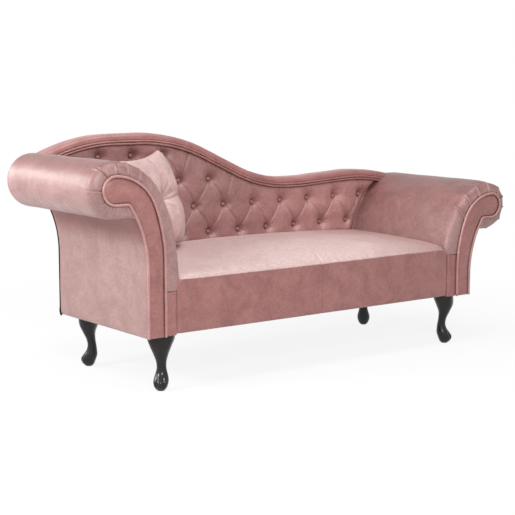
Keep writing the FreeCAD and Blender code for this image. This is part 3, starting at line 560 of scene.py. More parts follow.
def pleat_lift(left, outer, inner, ring_part, beyond):
    """Relief round a scroll: sharp folds from the piping, and velvet pulled flat between.

    ring_part is 0 at the piping and 1 at the end of the ring, and beyond grows after that.
    """
    middle = (inner + outer) / 2
    length, outer_length = line_length(middle), line_length(outer)
    fade = np.clip(1.2 - ring_part, 0, 1)[:, None] ** 0.7
    places = sorted(int(np.argmin(np.hypot(middle[:, 0] - ROLL_X - dx,
                                           middle[:, 1] - ROLL_HEIGHT[left] - dz)))
                    for dx, dz in RING_PLEATS[left])
    lift = np.zeros(beyond.shape)
    for place in places:
        gap = (length - length[place])[None, :]
        strong = pleat_strength(left, middle[place, 1] - ROLL_HEIGHT[left], fade)
        lift -= strong * (6.0 * hump(gap, 2.3) - 3.2 * hump(gap - 5.2, 3.2)
                          + 1.4 * hump(gap + 6.5, 4.5))
    facet = np.zeros(len(outer))
    for a, b in zip(places[:-1], places[1:]):
        chord = outer_length[b] - outer_length[a]
        sagitta = min(chord ** 2 / (8 * ROLL_RADIUS), 4.5) * FACET_DEPTH[left]
        t = (outer_length[a:b + 1] - outer_length[a]) / chord
        facet[a:b + 1] = -4 * sagitta * t * (1 - t)
    return lift + facet * np.clip(ring_part * 1.6, 0, 1)[:, None] * (1 - beyond) ** 2


def arm_sections(left):
    """Profiles of the padded arm and of the board in it, point for point."""
    roll_height, bottom = ROLL_HEIGHT[left], PAD_BOTTOM[left]
    counts = (40, 110, 110, 200)
    outer = arm_side_lines(SEAT_HALF, PAD_CROWN, ROLL_RADIUS, roll_height, bottom, counts)
    inner = arm_side_lines(BOARD_INNER_X, BOARD_CROWN, SCROLL_RADIUS, roll_height, bottom,
                           counts)
    under = roll_height - ROLL_RADIUS
    neck = joined(outer_neck(roll_height, 0.0))
    neck = neck[neck[:, 1] >= under - 1]
    outer.append(resample(np.array([[ROLL_X, under], [neck[-1][0] + 1, under]]), 40))
    inner.append(resample(neck, 40))
    return joined(outer), joined(inner)


def build_arm(left):
    """Velvet over the roll and the inner face of an arm, and the pieces round it."""
    side = SIDE_NAME[left]
    outer, inner = arm_sections(left)

    # Across the depth: front ring, straight run and rounded rear
    ring = np.linspace(0, 1, 30)
    run = np.linspace(0, 1, 76)[1:]
    tail = np.linspace(0, 1, 14)[1:]
    power = 2 / 2.5
    ring_start = FRONT_Y + RING_SETBACK
    above = np.interp(outer[:, 1] - PAD_BOTTOM[left], RING_GROWTH, (0, 1))
    ring_depth = RING_DEPTHS[0] + (RING_DEPTHS[1] - RING_DEPTHS[0]) * above ** 1.5
    ring_end = ring_start + ring_depth
    tail_start = REAR_Y - REAR_ROUNDING
    front = ring_start + (1 - np.cos(ring * math.pi / 2) ** power)[:, None] * ring_depth
    front += 2.5 * hump(ring, 0.05)[:, None]
    straight = ring_end * (1 - run[:, None]) + tail_start * run[:, None]
    rear = tail_start + REAR_ROUNDING * np.sin(tail * math.pi / 2)[:, None] ** power
    depths = np.vstack([front, straight, np.repeat(rear, len(outer), axis=1)])
    shares = np.concatenate([np.sin(ring * math.pi / 2) ** power, np.ones(len(run)),
                             np.cos(tail * math.pi / 2) ** power])[:, None]
    flat = inner * (1 - shares[..., None]) + outer * shares[..., None]
    grid = point_grid(flat[..., 0], depths, flat[..., 1])

    ring_part = np.concatenate([ring, np.full(len(run) + len(tail), 2.0)])
    beyond = np.clip((depths - ring_end) / 60.0, 0, 1)
    lift = pleat_lift(left, outer, inner, ring_part, beyond)
    lift += 0.9 * soft_noise(lift.shape, (14, 10), 11 + left) * np.clip(shares, 0.2, 1)
    if not left:
        # The low roll is stuffed fuller where it meets the back
        behind = np.clip((depths - 110) / 110, 0, 1) ** 2 * shares ** 2
        lift += 12.0 * behind * hump(outer[:, 0] - 735, 48)
    centre = np.array([ROLL_X - 30, 0, ROLL_HEIGHT[left] - 20])
    grid += grid_normals(grid, centre) * lift[..., None]
    cover = grid_mesh("arm_velvet_" + side, placed(grid, left), ARM, placed(centre, left))
    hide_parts("arm_cover_" + side, "arm_padding_" + side)

    build_side_panel(left, side)
    build_facing(left, side)
    build_strip(left, side)


def build_side_panel(left, side):
    """Outer panel of an arm: pulled smooth, with a soft edge all round."""
    roll_height = ROLL_HEIGHT[left]
    curve = outer_neck(roll_height, PANEL_OFFSET)[2]
    curve = curve[curve[:, 1] <= roll_height - ROLL_RADIUS + 6]
    line = resample(np.vstack([curve, [[curve[-1][0], ARM_BOTTOM]]]), 96)[::-1]
    start, end = FRONT_Y + 4.6, REAR_Y + 1.5
    width = end - start
    rows = np.linspace(0, 1, 120)
    grid = point_grid(line[:, 0], (start + width * rows)[:, None], line[:, 1])
    # The lower rear corner is rounded
    low = np.clip(1 - (grid[..., 2] - ARM_BOTTOM) / PANEL_CORNER, 0, 1)
    rear = np.clip(1 - (end - grid[..., 1]) / PANEL_CORNER, 0, 1)
    grid[..., 1] -= PANEL_CORNER * (1 - np.sqrt(1 - low ** 2)) * rear
    edge_y = np.minimum(rows, 1 - rows)[:, None] * width
    edge_z = np.linspace(0, 1, len(line)) * (line[-1][1] - line[0][1])
    puff = 4.2 * (1 - fading(edge_y, 14.0)) * (1 - fading(edge_z, 12.0)) - 2.6
    puff += soft_noise(puff.shape, (5, 4), 31 + left)
    ripple = np.sin(rows * width / 21.0 + 1.7 * np.sin(rows * width / 57.0))
    puff += 0.35 * ripple[:, None] * fading(edge_z, 26.0)
    grid[..., 0] += puff
    # Edges turn in behind, along the floor, at the rear and in front
    grid = with_hem(grid, 1, 0, (-9, 0, 0.5))
    grid = with_hem(grid, 0, -1, (-9, 0, 0))
    grid = with_hem(grid, 0, 0, (-9, 0, 0))
    panel = grid_mesh("side_velvet_" + side, placed(grid, left), SIDE, (0, 0, 300))
    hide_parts("arm_side_panel_" + side)


def build_strip(left, side):
    """Plain strip between the facing and the apron, folded under at its top."""
    start, end = STRIP_SIDES
    xs = np.linspace(start, end, 30)
    zs = np.linspace(ARM_BOTTOM + 1, PAD_BOTTOM[left] - 1.0, 60)[:, None]
    t = (xs - start) / (end - start)
    bulge = 4.2 * np.clip(t / 0.22, 0, 1) ** 0.5 - 1.6 * np.clip((t - 0.5) / 0.5, 0, 1) ** 2
    fold = -2.2 * hump(xs - start - 17, 1.6)
    near_top = np.clip((zs[-1] - zs) / 4.0, 0, 1) ** 0.5
    ys = FRONT_Y + 7.6 - (bulge + fold) * near_top
    ys += 0.4 * soft_noise(ys.shape, (7, 3), 61 + left)
    grid = point_grid(xs, ys, zs)
    for axis, depth in ((1, 14), (0, 10)):
        for edge in (0, -1):
            grid = with_hem(grid, axis, edge, (0, depth, 0))
    grid = placed(grid, left)
    strip = grid_mesh("strip_velvet_" + side, grid, FLAT, (grid[0, 0, 0], 0, 250))
    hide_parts("arm_front_strip_" + side)


def tube_mesh(name, line, radius, material, waviness, seed):
    """Round cord cover along points, slightly uneven as stitched fabric is."""
    sides = 14
    heading = np.gradient(line, axis=0)
    heading /= np.linalg.norm(heading, axis=1, keepdims=True)
    across = np.cross(heading, (0.0, 1.0, 0.0))
    across /= np.linalg.norm(across, axis=1, keepdims=True)
    other = np.cross(across, heading)
    turn = np.linspace(0, 2 * math.pi, sides, endpoint=False)[:, None]
    ring = across[:, None] * np.cos(turn) + other[:, None] * np.sin(turn)
    cells = (max(4, len(line) // 6), 3)
    size = radius + waviness * soft_noise((len(line), sides), cells, seed)
    points = (line[:, None] + ring * size[..., None]).reshape(-1, 3)
    return plain_mesh(name, points, tube_faces(len(line), sides), material)


def filled_outline(outline, spacing):
    """Triangles that fill a closed XZ outline, and how far each point is from its edge."""
    count = int(line_length(outline)[-1] / spacing)
    outline = resample(np.vstack([outline, outline[:1]]), count)[:-1]
    low, high = outline.min(0), outline.max(0)
    xs = np.arange(low[0], high[0], spacing)
    zs = np.arange(low[1], high[1], spacing * 0.87)
    gx, gz = np.meshgrid(xs, zs)
    gx = gx + (np.arange(len(zs)) % 2)[:, None] * spacing / 2
    points = np.stack([gx.ravel(), gz.ravel()], 1)
    inside = np.zeros(len(points), bool)
    distance = np.full(len(points), 1e9)
    for p, q in zip(outline, np.roll(outline, -1, axis=0)):
        crosses = (p[1] > points[:, 1]) != (q[1] > points[:, 1])
        if p[1] != q[1]:
            at = p[0] + (points[:, 1] - p[1]) * (q[0] - p[0]) / (q[1] - p[1])
            inside ^= crosses & (points[:, 0] < at)
        edge = q - p
        t = np.clip(((points - p) @ edge) / (edge @ edge), 0, 1)
        distance = np.minimum(distance, np.linalg.norm(points - p - t[:, None] * edge, axis=1))
    keep = inside & (distance > spacing * 0.6)
    everything = np.vstack([outline, points[keep]])
    reach = np.concatenate([np.zeros(len(outline)), distance[keep]])
    ring = [(i, (i + 1) % len(outline)) for i in range(len(outline))]
    made = delaunay_2d_cdt([Vector(p) for p in everything], ring, [], 1, 1e-6)
    verts = np.array([tuple(v) for v in made[0]])
    origin = [ids[0] if ids else 0 for ids in made[3]]
    return verts, [tuple(face) for face in made[2]], reach[origin]


def build_facing(left, side):
    """Front facing with a thin wadding, and the piping sewn round it."""
    roll_height = ROLL_HEIGHT[left]
    outline = board_outline(roll_height, -FACING_INSET, ARM_BOTTOM)
    verts, faces, reach = filled_outline(outline, 5.0)
    rise = 6.5 * (1 - fading(reach, 7.0)) - 3.5
    rise += 0.5 * np.sin(verts[:, 0] / 23.0 + verts[:, 1] / 41.0)
    points = placed(point_grid(verts[:, 0], FRONT_Y - rise + 0.5, verts[:, 1]), left)
    faces = facing_along_y(points, faces, -1)
    facing = plain_mesh("facing_velvet_" + side, points, faces, FLAT)
    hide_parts("arm_front_facing_" + side)

    line = board_outline(roll_height, 0.0, ARM_BOTTOM)
    line = resample(line, int(line_length(line)[-1] / 4))
    path = placed(point_grid(line[:, 0], FRONT_Y, line[:, 1]), left)
    piping = tube_mesh("facing_piping_" + side, path, FACING_PIPE_RADIUS, PIPING, 0.35,
                       5 + left)
    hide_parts("arm_front_piping_" + side)


def moved(x, z, heading, size, turn, share):
    """Place and heading in degrees, after a share of one of the top's stretches."""
    if not turn:
        lean = math.radians(heading)
        return x + share * size * math.cos(lean), z + share * size * math.sin(lean), heading
    side = math.copysign(1.0, size)
    to_centre = math.radians(heading + 90 * side)
    heading += side * turn * share
    away = math.radians(heading - 90 * side)
    return (x + abs(size) * (math.cos(to_centre) + math.cos(away)),
            z + abs(size) * (math.sin(to_centre) + math.sin(away)), heading)


def top_line(step=5.0):
    """Points on the serpentine top of the back and their inward normals."""
    heading = TOP_STRETCHES[0][1]
    start = math.radians(heading + 90)
    x = CREST[0] + SHOULDER * math.cos(start)
    z = CREST[1] - SHOULDER + SHOULDER * math.sin(start)
    stations = []
    for size, turn in TOP_STRETCHES:
        length = math.radians(turn) * abs(size) if turn else size
        count = max(1, int(length / step))
        stations += [moved(x, z, heading, size, turn, i / count) for i in range(count)]
        x, z, heading = moved(x, z, heading, size, turn, 1.0)
    stations = np.array([*stations, (x, z, heading)])
    lean = np.radians(stations[:, 2] - 90)
    return stations[:, :2], np.stack([np.cos(lean), np.sin(lean)], 1)


def lining_outline():
    """Edge of the lining over the rear: both arm ends, and the back between them."""
    halves = []
    for left in (False, True):
        arm = board_outline(ROLL_HEIGHT[left], -LINING_INSET, LINING_BOTTOM)[::-1]
        past_top = np.arange(len(arm)) > np.argmax(arm[:, 1])
        past_top &= arm[:, 0] < (-BACK_START if left else BORDER_END)
        arm = arm[:int(np.argmax(past_top))]
        halves.append(arm * np.array([-1 if left else 1, 1]))
    line, inward = top_line(8.0)
    line = line + inward * LINING_INSET
    line = line[(line[:, 0] > BACK_START) & (line[:, 0] < BORDER_END)][::-1]
    return np.vstack([halves[0], line, halves[1][::-1]])


def build_lining():
    """Black lining over the rear, drawn tight to its tacked edges, with a hem turned in."""
    verts, faces, reach = filled_outline(lining_outline(), 9.0)
    x, z = verts[:, 0], verts[:, 1]
    slack = 1 - fading(reach, 60.0)
    pull = np.sin(x / 37.0 + 2.1 * np.sin(z / 95.0)) * fading(reach, 45.0)
    sway = np.sin(x / 210.0 + z / 130.0) + 0.6 * np.sin(x / 90.0 - z / 160.0)
    points = point_grid(x, LINING_Y + 0.35 * pull - 0.45 * slack * (1 + 0.5 * sway), z)
    faces = facing_along_y(points, faces, 1)
    edges = [pair for face in faces for pair in zip(face, face[1:] + face[:1])]
    shared = set(edges)
    rim = [(i, j) for i, j in edges if (j, i) not in shared]
    ends = sorted({i for pair in rim for i in pair})
    inner = {i: len(points) + k for k, i in enumerate(ends)}
    points = np.vstack([points, points[ends] - np.array([0, 4.0, 0])])
    faces += [(j, i, inner[i], inner[j]) for i, j in rim]
    lining = plain_mesh("lining_cloth", points, faces, LINING)
    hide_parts("rear_lining")


def build_shadow_line_and_lining_corner(left):
    """Painted shadow line: a thin black cord along the rear edge of a side panel, and spare
    lining folded up under its corner.
    """
    side = SIDE_NAME[left]
    curve = outer_neck(ROLL_HEIGHT[left], 1.2)[2]
    curve = curve[curve[:, 1] < ROLL_HEIGHT[left] - ROLL_RADIUS + 4]
    curve = resample(np.vstack([curve, [[curve[-1][0], ARM_BOTTOM + 4]]]), 90)
    path = placed(point_grid(curve[:, 0], REAR_Y + 0.4, curve[:, 1]), left)
    # A black cord of lining cloth stands in for the shadow line along the rear edge
    tube_mesh("rear_shadow_line_" + side, path, 2.1, LINING, 0.25, 8)
    s, t = np.meshgrid(np.linspace(0, 1, 14), np.linspace(0, 1, 12), indexing="ij")
    grid = point_grid(BOARD_OUTER_X + 3.0 - 25.0 * t + 2.0 * np.sin(3 * s),
                      REAR_Y + 1.6 - 3.0 * t * s - 8.0 * s ** 2,
                      ARM_BOTTOM + 24.0 - 29.0 * s * (1 - 0.55 * t) - 2.5 * np.sin(4 * t + 2 * s))
    flap = grid_mesh("lining_corner_" + side, placed(grid, left), LINING,
                     placed(np.array([690, 0, 250]), left))
    thick = flap.modifiers.new("thickness", "SOLIDIFY")
    thick.thickness = 0.0012
    thick.offset = 0.0


def arm_face(left):
    """Profile of the padded face of an arm, from the floor to the top of the roll."""
    lines = arm_side_lines(SEAT_HALF, PAD_CROWN, ROLL_RADIUS, ROLL_HEIGHT[left], 0.0,
                           (20, 120, 120, 4))
    return np.vstack(lines[:3])


def arm_surface(x, left):
    """Height of the padded face of an arm at a distance x from the middle."""
    line = arm_face(left)
    return float(np.interp(x, line[:, 0], line[:, 1]))


def arm_reach(z, left):
    """Distance of the padded face of an arm from the middle, at a height."""
    line = arm_face(left)
    return np.interp(z, line[:, 1], line[:, 0])


# Height of each row of buttons, and where its buttons are
ROWS_OF_BUTTONS = [
    (428.0, [-508, -376, -244, -112, 20, 152, 284, 415, 547]),
    (525.0, [-574, -441, -310, -178, -46, 86, 218, 350, 481, 613]),
    (621.0, [-508, -376, -244, -112]),
    (718.0, [-573, -441, -310]),
]
PLEAT_END = 404.0            # where the lowest pleats reach the seat
# How far beside its button a pleat meets the piping, by the button's place
TOP_DRIFTS = {-441: -7, -310: -11, -573: -3, -244: 37, -112: -17, -46: 27}
TOP_DRIFT = -12.0


def pleat_lines(top_at):
    """Folds between neighbouring buttons, and from the outer ones to the edges."""
    folds = []
    rows = [[(x, z) for x in xs] for z, xs in ROWS_OF_BUTTONS]
    for row, above in zip(rows, rows[1:] + [[]]):
        for x, z in row:
            mates = [mate for mate in above if abs(abs(mate[0] - x) - BUTTON_PITCH / 2) < 12]
            folds += [((x, z), mate, 4.0) for mate in mates]
            if len(mates) < 2:
                end = x + TOP_DRIFTS.get(x, TOP_DRIFT)
                folds.append(((x, z), (end, top_at(end)), 0.0))
            if row is rows[0]:
                folds.append(((x, z), (x + 3, PLEAT_END), 0.0))
    return folds


def fold_place(x, z, start, end, bow):
    """Share along a fold and distance to its side, for every point of a grid."""
    start, end = np.array(start, float), np.array(end, float)
    span = end - start
    size = math.hypot(*span)
    t = ((x - start[0]) * span[0] + (z - start[1]) * span[1]) / size ** 2
    aside = ((x - start[0]) * span[1] - (z - start[1]) * span[0]) / size
    outward = -1.0 if span[0] > 0 else 1.0
    return t, aside - outward * bow * np.sin(np.clip(t, 0, 1) * math.pi)


def tufting_columns(top_at):
    """X and Z of the tufted velvet, in columns from the arm or the seat to the piping."""
    columns = []
    share = np.linspace(0, 1, 150)
    for x in np.arange(*TUFT_ENDS, TUFT_STEP):
        high = top_at(x) + 3
        low = SEAT_REST - 3.0
        if abs(x) > SEAT_HALF:
            low = arm_surface(abs(x), x < 0) - 6
        if high - low > 8:
            columns.append((np.full(len(share), x), low + (high - low) * share))
    columns = np.array(columns)
    return columns[:, 0], columns[:, 1]


def pillow_height(x, z, folds):
    """Pillows swell away from the folds and from the piping and the seat."""
    nearest = np.full(x.shape, 1e3)
    for start, end, bow in folds:
        t, aside = fold_place(x, z, start, end, bow)
        past = np.maximum(np.maximum(-t, t - 1), 0) * math.dist(start, end)
        nearest = np.minimum(nearest, np.hypot(aside, past))
    to_seat = z - z.min(axis=1, keepdims=True)
    to_piping = (z.max(axis=1, keepdims=True) - z) * 0.93
    height = TUFT_THICKNESS - 4.0 * fading(nearest, 10.0) - 8.0 * fading(to_piping, 6.0)
    return height - np.where(np.abs(x) < SEAT_HALF, 7.0 * fading(to_seat, 11.0), 0.0)


def fold_relief(x, z, folds):
    """Each fold is steep on one side, deeper towards its buttons, with a ridge beside it."""
    relief = np.zeros(x.shape)
    for start, end, bow in folds:
        t, aside = fold_place(x, z, start, end, bow)
        near = np.clip(t, -1, 2)
        t = np.clip(t, 0, 1)
        inside = 1 / (1 + np.exp(-(near - 0.03) * 60)) / (1 + np.exp((near - 0.99) * 60))
        deep = 2.6 + 2.4 * (2 * t - 1) ** 2 if bow else 2.0 + 2.6 * (1 - t) ** 2
        steep = np.where(aside < 0, 1.4, 3.2)
        relief += inside * (0.9 * hump(aside + 4.0, 2.6) - deep * hump(aside, steep))
    return relief


def build_tufting():
    """Button-tufted front of the back: pillows between folds, drawn in at every button."""
    line, inward = top_line()
    edge = line + inward * TUFT_OFFSET

    def top_at(x):
        return float(np.interp(x, edge[:, 0], edge[:, 1]))

    x, z = tufting_columns(top_at)
    folds = pleat_lines(top_at)
    height = pillow_height(x, z, folds) + fold_relief(x, z, folds)
    drawn = np.zeros(x.shape)
    hole = np.zeros(x.shape)
    for z0, row in ROWS_OF_BUTTONS:
        for x0 in row:
            away = np.hypot(x - x0, z - z0)
            turn = np.arctan2(z - z0, x - x0)
            drawn = np.maximum(drawn, hump(np.maximum(away - PIT_FLOOR, 0), PIT_WIDTH, 1.25))
            hole = np.maximum(hole, hump(away, HOLE_WIDTH, 3))
            fan = np.sin(8 * turn + x0) + 0.7 * np.sin(13 * turn + 2 * z0)
            height += 0.8 * fan * hump(away - 15, 7.0)
    height = height * (1 - drawn) - 6.0 * drawn - 7.0 * hole
    to_arm = np.where(x < 0, arm_reach(z, True), arm_reach(z, False)) - np.abs(x)
    height -= ARM_RECESS * hump(np.maximum(to_arm, 0), RECESS_REACH, 1.7)
    height += 0.8 * soft_noise(height.shape, (34, 7), 3)
    height = np.maximum(height, DEEPEST_TUFT)
    grid = point_grid(x, BACK_Y + TUFT_THICKNESS - height + 0.5, z)
    tufted = grid_mesh("tufted_velvet", grid, TUFTED, (0, 400, 550))
    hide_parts("back_tufted_cover", "back_foam")


def button_shapes(places, radius, rise):
    """Points and faces of covered buttons that face -Y: domes from a rim turned under."""
    sides = 28
    turn = np.linspace(0, 2 * math.pi, sides, endpoint=False)
    arch = np.linspace(-0.35 * math.pi, 0.5 * math.pi, 12)
    rings, heights = radius * np.cos(arch) ** 0.8, rise * np.sin(arch)
    rows = len(rings) - 1
    points, faces = [], []
    for number, (x, y, z) in enumerate(places):
        base = len(points)
        reach = rings[:-1, None] * (1 + 0.02 * np.sin(7 * turn + number))
        dome = point_grid(x + reach * np.cos(turn), y - heights[:-1, None],
                          z + reach * np.sin(turn))
        points += dome.reshape(-1, 3).tolist() + [[x, y - heights[-1], z]]
        faces += [tuple(base + i for i in face) for face in tube_faces(rows, sides)[:-2]]
        last, tip = base + (rows - 1) * sides, len(points) - 1
        faces += [(last + j, last + (j + 1) % sides, tip) for j in range(sides)]
    return np.array(points), faces


def build_buttons():
    """All the buttons of the back as one piece."""
    places = [(x, BACK_Y + BUTTON_DEPTH, z) for z, row in ROWS_OF_BUTTONS for x in row]
    points, faces = button_shapes(places, BUTTON_RADIUS, BUTTON_RISE)
    buttons = plain_mesh("back_buttons_velvet", points, faces, SHELL)
    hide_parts("back_buttons")


def border_section():
    """Section of the border as inward distance and Y, from behind round to its piping."""
    rounding = 14.0
    turn = np.radians(np.linspace(0, 90, 9))[1:]
    rear, front = REAR_Y, BACK_Y + rounding
    section = [(36, rear + 0.5), (4, rear + 1.5), (1.2, rear)]
    section += [(0.2 - 1.2 * math.sin(math.pi * t), rear - (rear - front) * t)
                for t in np.linspace(0.1, 1, 9)]
    section += [(rounding * (1 - math.cos(a)), front - rounding * math.sin(a) + 0.2)
                for a in turn]
    section += [(17.0, BACK_Y - 0.8), (20.0, BACK_Y - 0.6), (22.6, BACK_Y + 0.8),
                (23.6, BACK_Y + 3.5), (24, BACK_Y + 11), (36, BACK_Y + 19)]
    return np.array(section)


def build_border():
    """Smooth border over the top of the back, and the double piping under it."""
    line, inward = top_line()
    kept = line[:, 0] < BORDER_END
    line, inward = line[kept], inward[kept]
    section = border_section()
    flat = line[:, None] + inward[:, None] * section[None, :, :1]
    grid = point_grid(flat[..., 0], section[:, 1], flat[..., 1])
    ripple = 0.5 * soft_noise(grid.shape[:2], (46, 4), 21)
    seam = 1.8 * hump(line[:, 0] - 59, 2.4)
    grid += grid_normals(grid, (0, 260, 300)) * (ripple - seam[:, None])[..., None]
    faces = tube_faces(*grid.shape[:2])
    border = plain_mesh("border_velvet", grid.reshape(-1, 3), faces, SHELL)
    face_outward(border)
    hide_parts("back_border_cover", "back_border_padding")
    for seed, (name, offset) in zip((2, 4), PIPE_OFFSETS.items()):
        path = line + inward * offset
        path = path[(path[:, 0] > BACK_START) & (path[:, 0] < BORDER_END - 1)]
        points = point_grid(path[:, 0], BACK_Y, path[:, 1])
        piping = tube_mesh("back_piping_velvet_" + name, points, PIPE_RADIUS, SHELL, 0.35,
                           seed)
        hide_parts("back_piping_" + name)


def seat_heights(x, along):
    """Height of the seat at places along it and across its depth, lower beside the arms."""
    middle = curve_values(SEAT_PLACES, SEAT_MIDDLE, along)
    end = curve_values(SEAT_PLACES, SEAT_END, along)
    share = (x / SEAT_HALF) ** 2
    return middle * (1 - share) + end * share


def build_seat():
    """Seat in two halves, pulled down at the arms and the back, with a seam between."""
    xs = np.concatenate([-SEAT_HALF + np.array([-3, 0, 1.5, 4, 7]),
                         np.linspace(-SEAT_HALF + 11, -6, 118),
                         np.array([-4, -2.5, -1.2, 0, 1.2, 2.5, 4]),
                         np.linspace(6, SEAT_HALF - 11, 118),
                         SEAT_HALF - np.array([7, 4, 1.5, 0, -3])])
    lips = np.array(SEAM_LIPS)
    along = np.linspace(APRON_Y + 2.0, BACK_Y + 3.0, 100)
    heights = np.hstack([np.tile(lips[:, 1], (len(xs), 1)), seat_heights(xs[:, None], along)])
    grid = point_grid(xs[:, None], np.concatenate([lips[:, 0], along]), heights)
    inside = np.concatenate([np.linspace(0, 0.3, len(lips)), np.ones(len(along))])
    edge = SEAT_HALF - np.abs(xs)
    tuck = 10.0 * np.clip(1 - edge / 14.0, 0, 1.2) ** 2
    rear = np.clip(1 - (BACK_Y - grid[..., 1]) / 14.0, 0, 1)
    seam = SEAT_SEAM_DEPTH * hump(xs, SEAT_SEAM_WIDTH)[:, None]
    seam = seam * np.where(inside > 0.5, 1.0, 0.3)
    shoulders = 0.8 * hump(np.abs(xs) - 7, 4.0)[:, None] * inside
    uneven = (soft_noise(heights.shape, (14, 6), 41)
              + 0.35 * soft_noise(heights.shape, (60, 12), 43)) * inside
    grid[..., 2] += shoulders + uneven - tuck[:, None] * inside - 9.0 * rear ** 2 - seam
    seat = grid_mesh("seat_velvet", grid, PALE, (0, 0, 100))
    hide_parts("seat_cover_left", "seat_cover_right", "seat_foam")


def build_apron():
    """Apron in two halves: a joint in the middle, with a row of stitches on both sides."""
    bend = 11.0
    xs = np.concatenate([np.linspace(-APRON_HALF, -APRON_HALF + 14, 12),
                         np.linspace(-APRON_HALF + 18, -14, 130), np.linspace(-11, 11, 34),
                         np.linspace(14, APRON_HALF - 18, 130),
                         np.linspace(APRON_HALF - 14, APRON_HALF, 12)])
    share = np.concatenate([np.linspace(0, 0.06, 8), np.linspace(0.075, 0.95, 52),
                            np.linspace(0.96, 1.0, 6)])[:, None]
    beside = np.clip((np.abs(xs) - SEAT_HALF) / (APRON_HALF - SEAT_HALF), 0, 1)
    rise = (APRON_TOP - 17.0 * beside ** 2 - APRON_BOTTOM) * share
    edge = APRON_HALF - np.abs(xs)
    out = 4.6 * (1 - fading(rise, 6.0)) - 1.6
    out -= bend * (1 - np.sqrt(1 - np.clip(1 - edge / bend, 0, 1) ** 2))
    out -= 3.2 * hump(xs, 2.0) + 1.4 * hump(np.abs(xs) - 6.5, 1.4)
    out += 0.8 * soft_noise(out.shape, (3, 22), 51) + 0.3 * soft_noise(out.shape, (5, 70), 53)
    out += 1.1 * hump(edge - 22, 14.0) * fading(rise, 70.0) * np.sin(np.abs(xs) / 2.6)
    grid = point_grid(xs, APRON_Y - out, APRON_BOTTOM + rise)
    for axis, end, depth in ((0, -1, 14), (0, 0, 12), (1, 0, 10), (1, -1, 10)):
        grid = with_hem(grid, axis, end, (0, depth, 0))
    apron = grid_mesh("apron_velvet", grid, SHELL, (0, 0, 270))
    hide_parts("apron_cover_left", "apron_cover_right", "apron_padding")


# Shape of a leg at shares of its height: how far it stands out along the diagonal, and
# its half sizes along the diagonal and across it
LEG_SHARES = [0.00, 0.03, 0.08, 0.13, 0.20, 0.28, 0.36, 0.48, 0.62, 0.76, 0.90, 1.00]
LEG_OFFSETS = [9.0, 10.0, 10.5, 8.5, 3.0, -1.5, -3.0, 0.0, 6.0, 7.0, 3.0, 0.0]
LEG_DEPTHS = [15.0, 19.5, 24.0, 25.5, 23.5, 18.5, 15.5, 15.0, 20.5, 30.5, 36.5, 38.0]
LEG_WIDTHS = [14.0, 18.5, 22.5, 24.5, 23.5, 19.5, 16.0, 16.8, 24.0, 34.0, 43.5, 45.5]


def leg_sizes(share, turn):
    """Distance of the leg's skin from its middle, by share of the height and by angle."""
    depth, width = (curve_values(LEG_SHARES, sizes, share) for sizes in (LEG_DEPTHS, LEG_WIDTHS))
    power = np.interp(share, [0, 0.3, 0.6, 1.0], [2.3, 2.0, 2.3, 2.9])
    size = (np.abs(np.cos(turn) / depth) ** power
            + np.abs(np.sin(turn) / width) ** power) ** (-1 / power)

    def beside(angle):
        return (turn - angle + math.pi) % (2 * math.pi) - math.pi

    # Three toes in front, cut by grooves that run out at the ankle, and a ridge on the knee
    carve = hump(share - 0.13, 0.085)
    for groove in (-0.52, 0.52):
        size = size * (1 - 0.17 * carve * hump(beside(groove), 0.17))
    size = size * (1 + 0.05 * carve * hump(beside(0), 0.3))
    return size * (1 + 0.035 * hump(share - 0.8, 0.16) * hump(beside(0), 0.22))


def build_legs():
    """Cabriole legs with a square knee, a slim ankle and a carved foot."""
    share = np.linspace(0, 1, 96)[:, None]
    turn = np.linspace(0, 2 * math.pi, 72, endpoint=False)
    size = leg_sizes(share, turn)
    ahead = curve_values(LEG_SHARES, LEG_OFFSETS, share) + size * np.cos(turn)
    aside = size * np.sin(turn)
    faces = tube_faces(*size.shape)
    for row, y in LEG_PLACES.items():
        for left, x in LEG_X.items():
            away = np.array([math.copysign(1, x), math.copysign(1, y)]) / math.sqrt(2)
            grid = point_grid(x + ahead * away[0] - aside * away[1],
                              y + ahead * away[1] + aside * away[0],
                              LEG_START + share * (LEG_HEIGHT - LEG_START))
            name = row + "_" + SIDE_NAME[left]
            leg = plain_mesh("leg_carved_" + name, grid.reshape(-1, 3), faces, LEG)
            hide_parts("leg_" + name)


def cushion_placed(points):
    """Points of the cushion, laid flat round its middle, where it stands on the seat."""
    turned = Matrix.Rotation(math.radians(CUSHION_TURN + 90), 4, "Z")
    leaned = Matrix.Rotation(math.radians(-CUSHION_LEAN), 4, "X")
    rolled = Matrix.Rotation(math.radians(-CUSHION_ROLL), 4, "Y")
    upright = Matrix.Rotation(math.radians(90), 4, "X")
    matrix = np.array(Matrix.Translation(Vector(CUSHION_CENTER)) @ turned @ leaned @ rolled
                      @ upright)
    return points @ matrix[:3, :3].T + matrix[:3, 3]


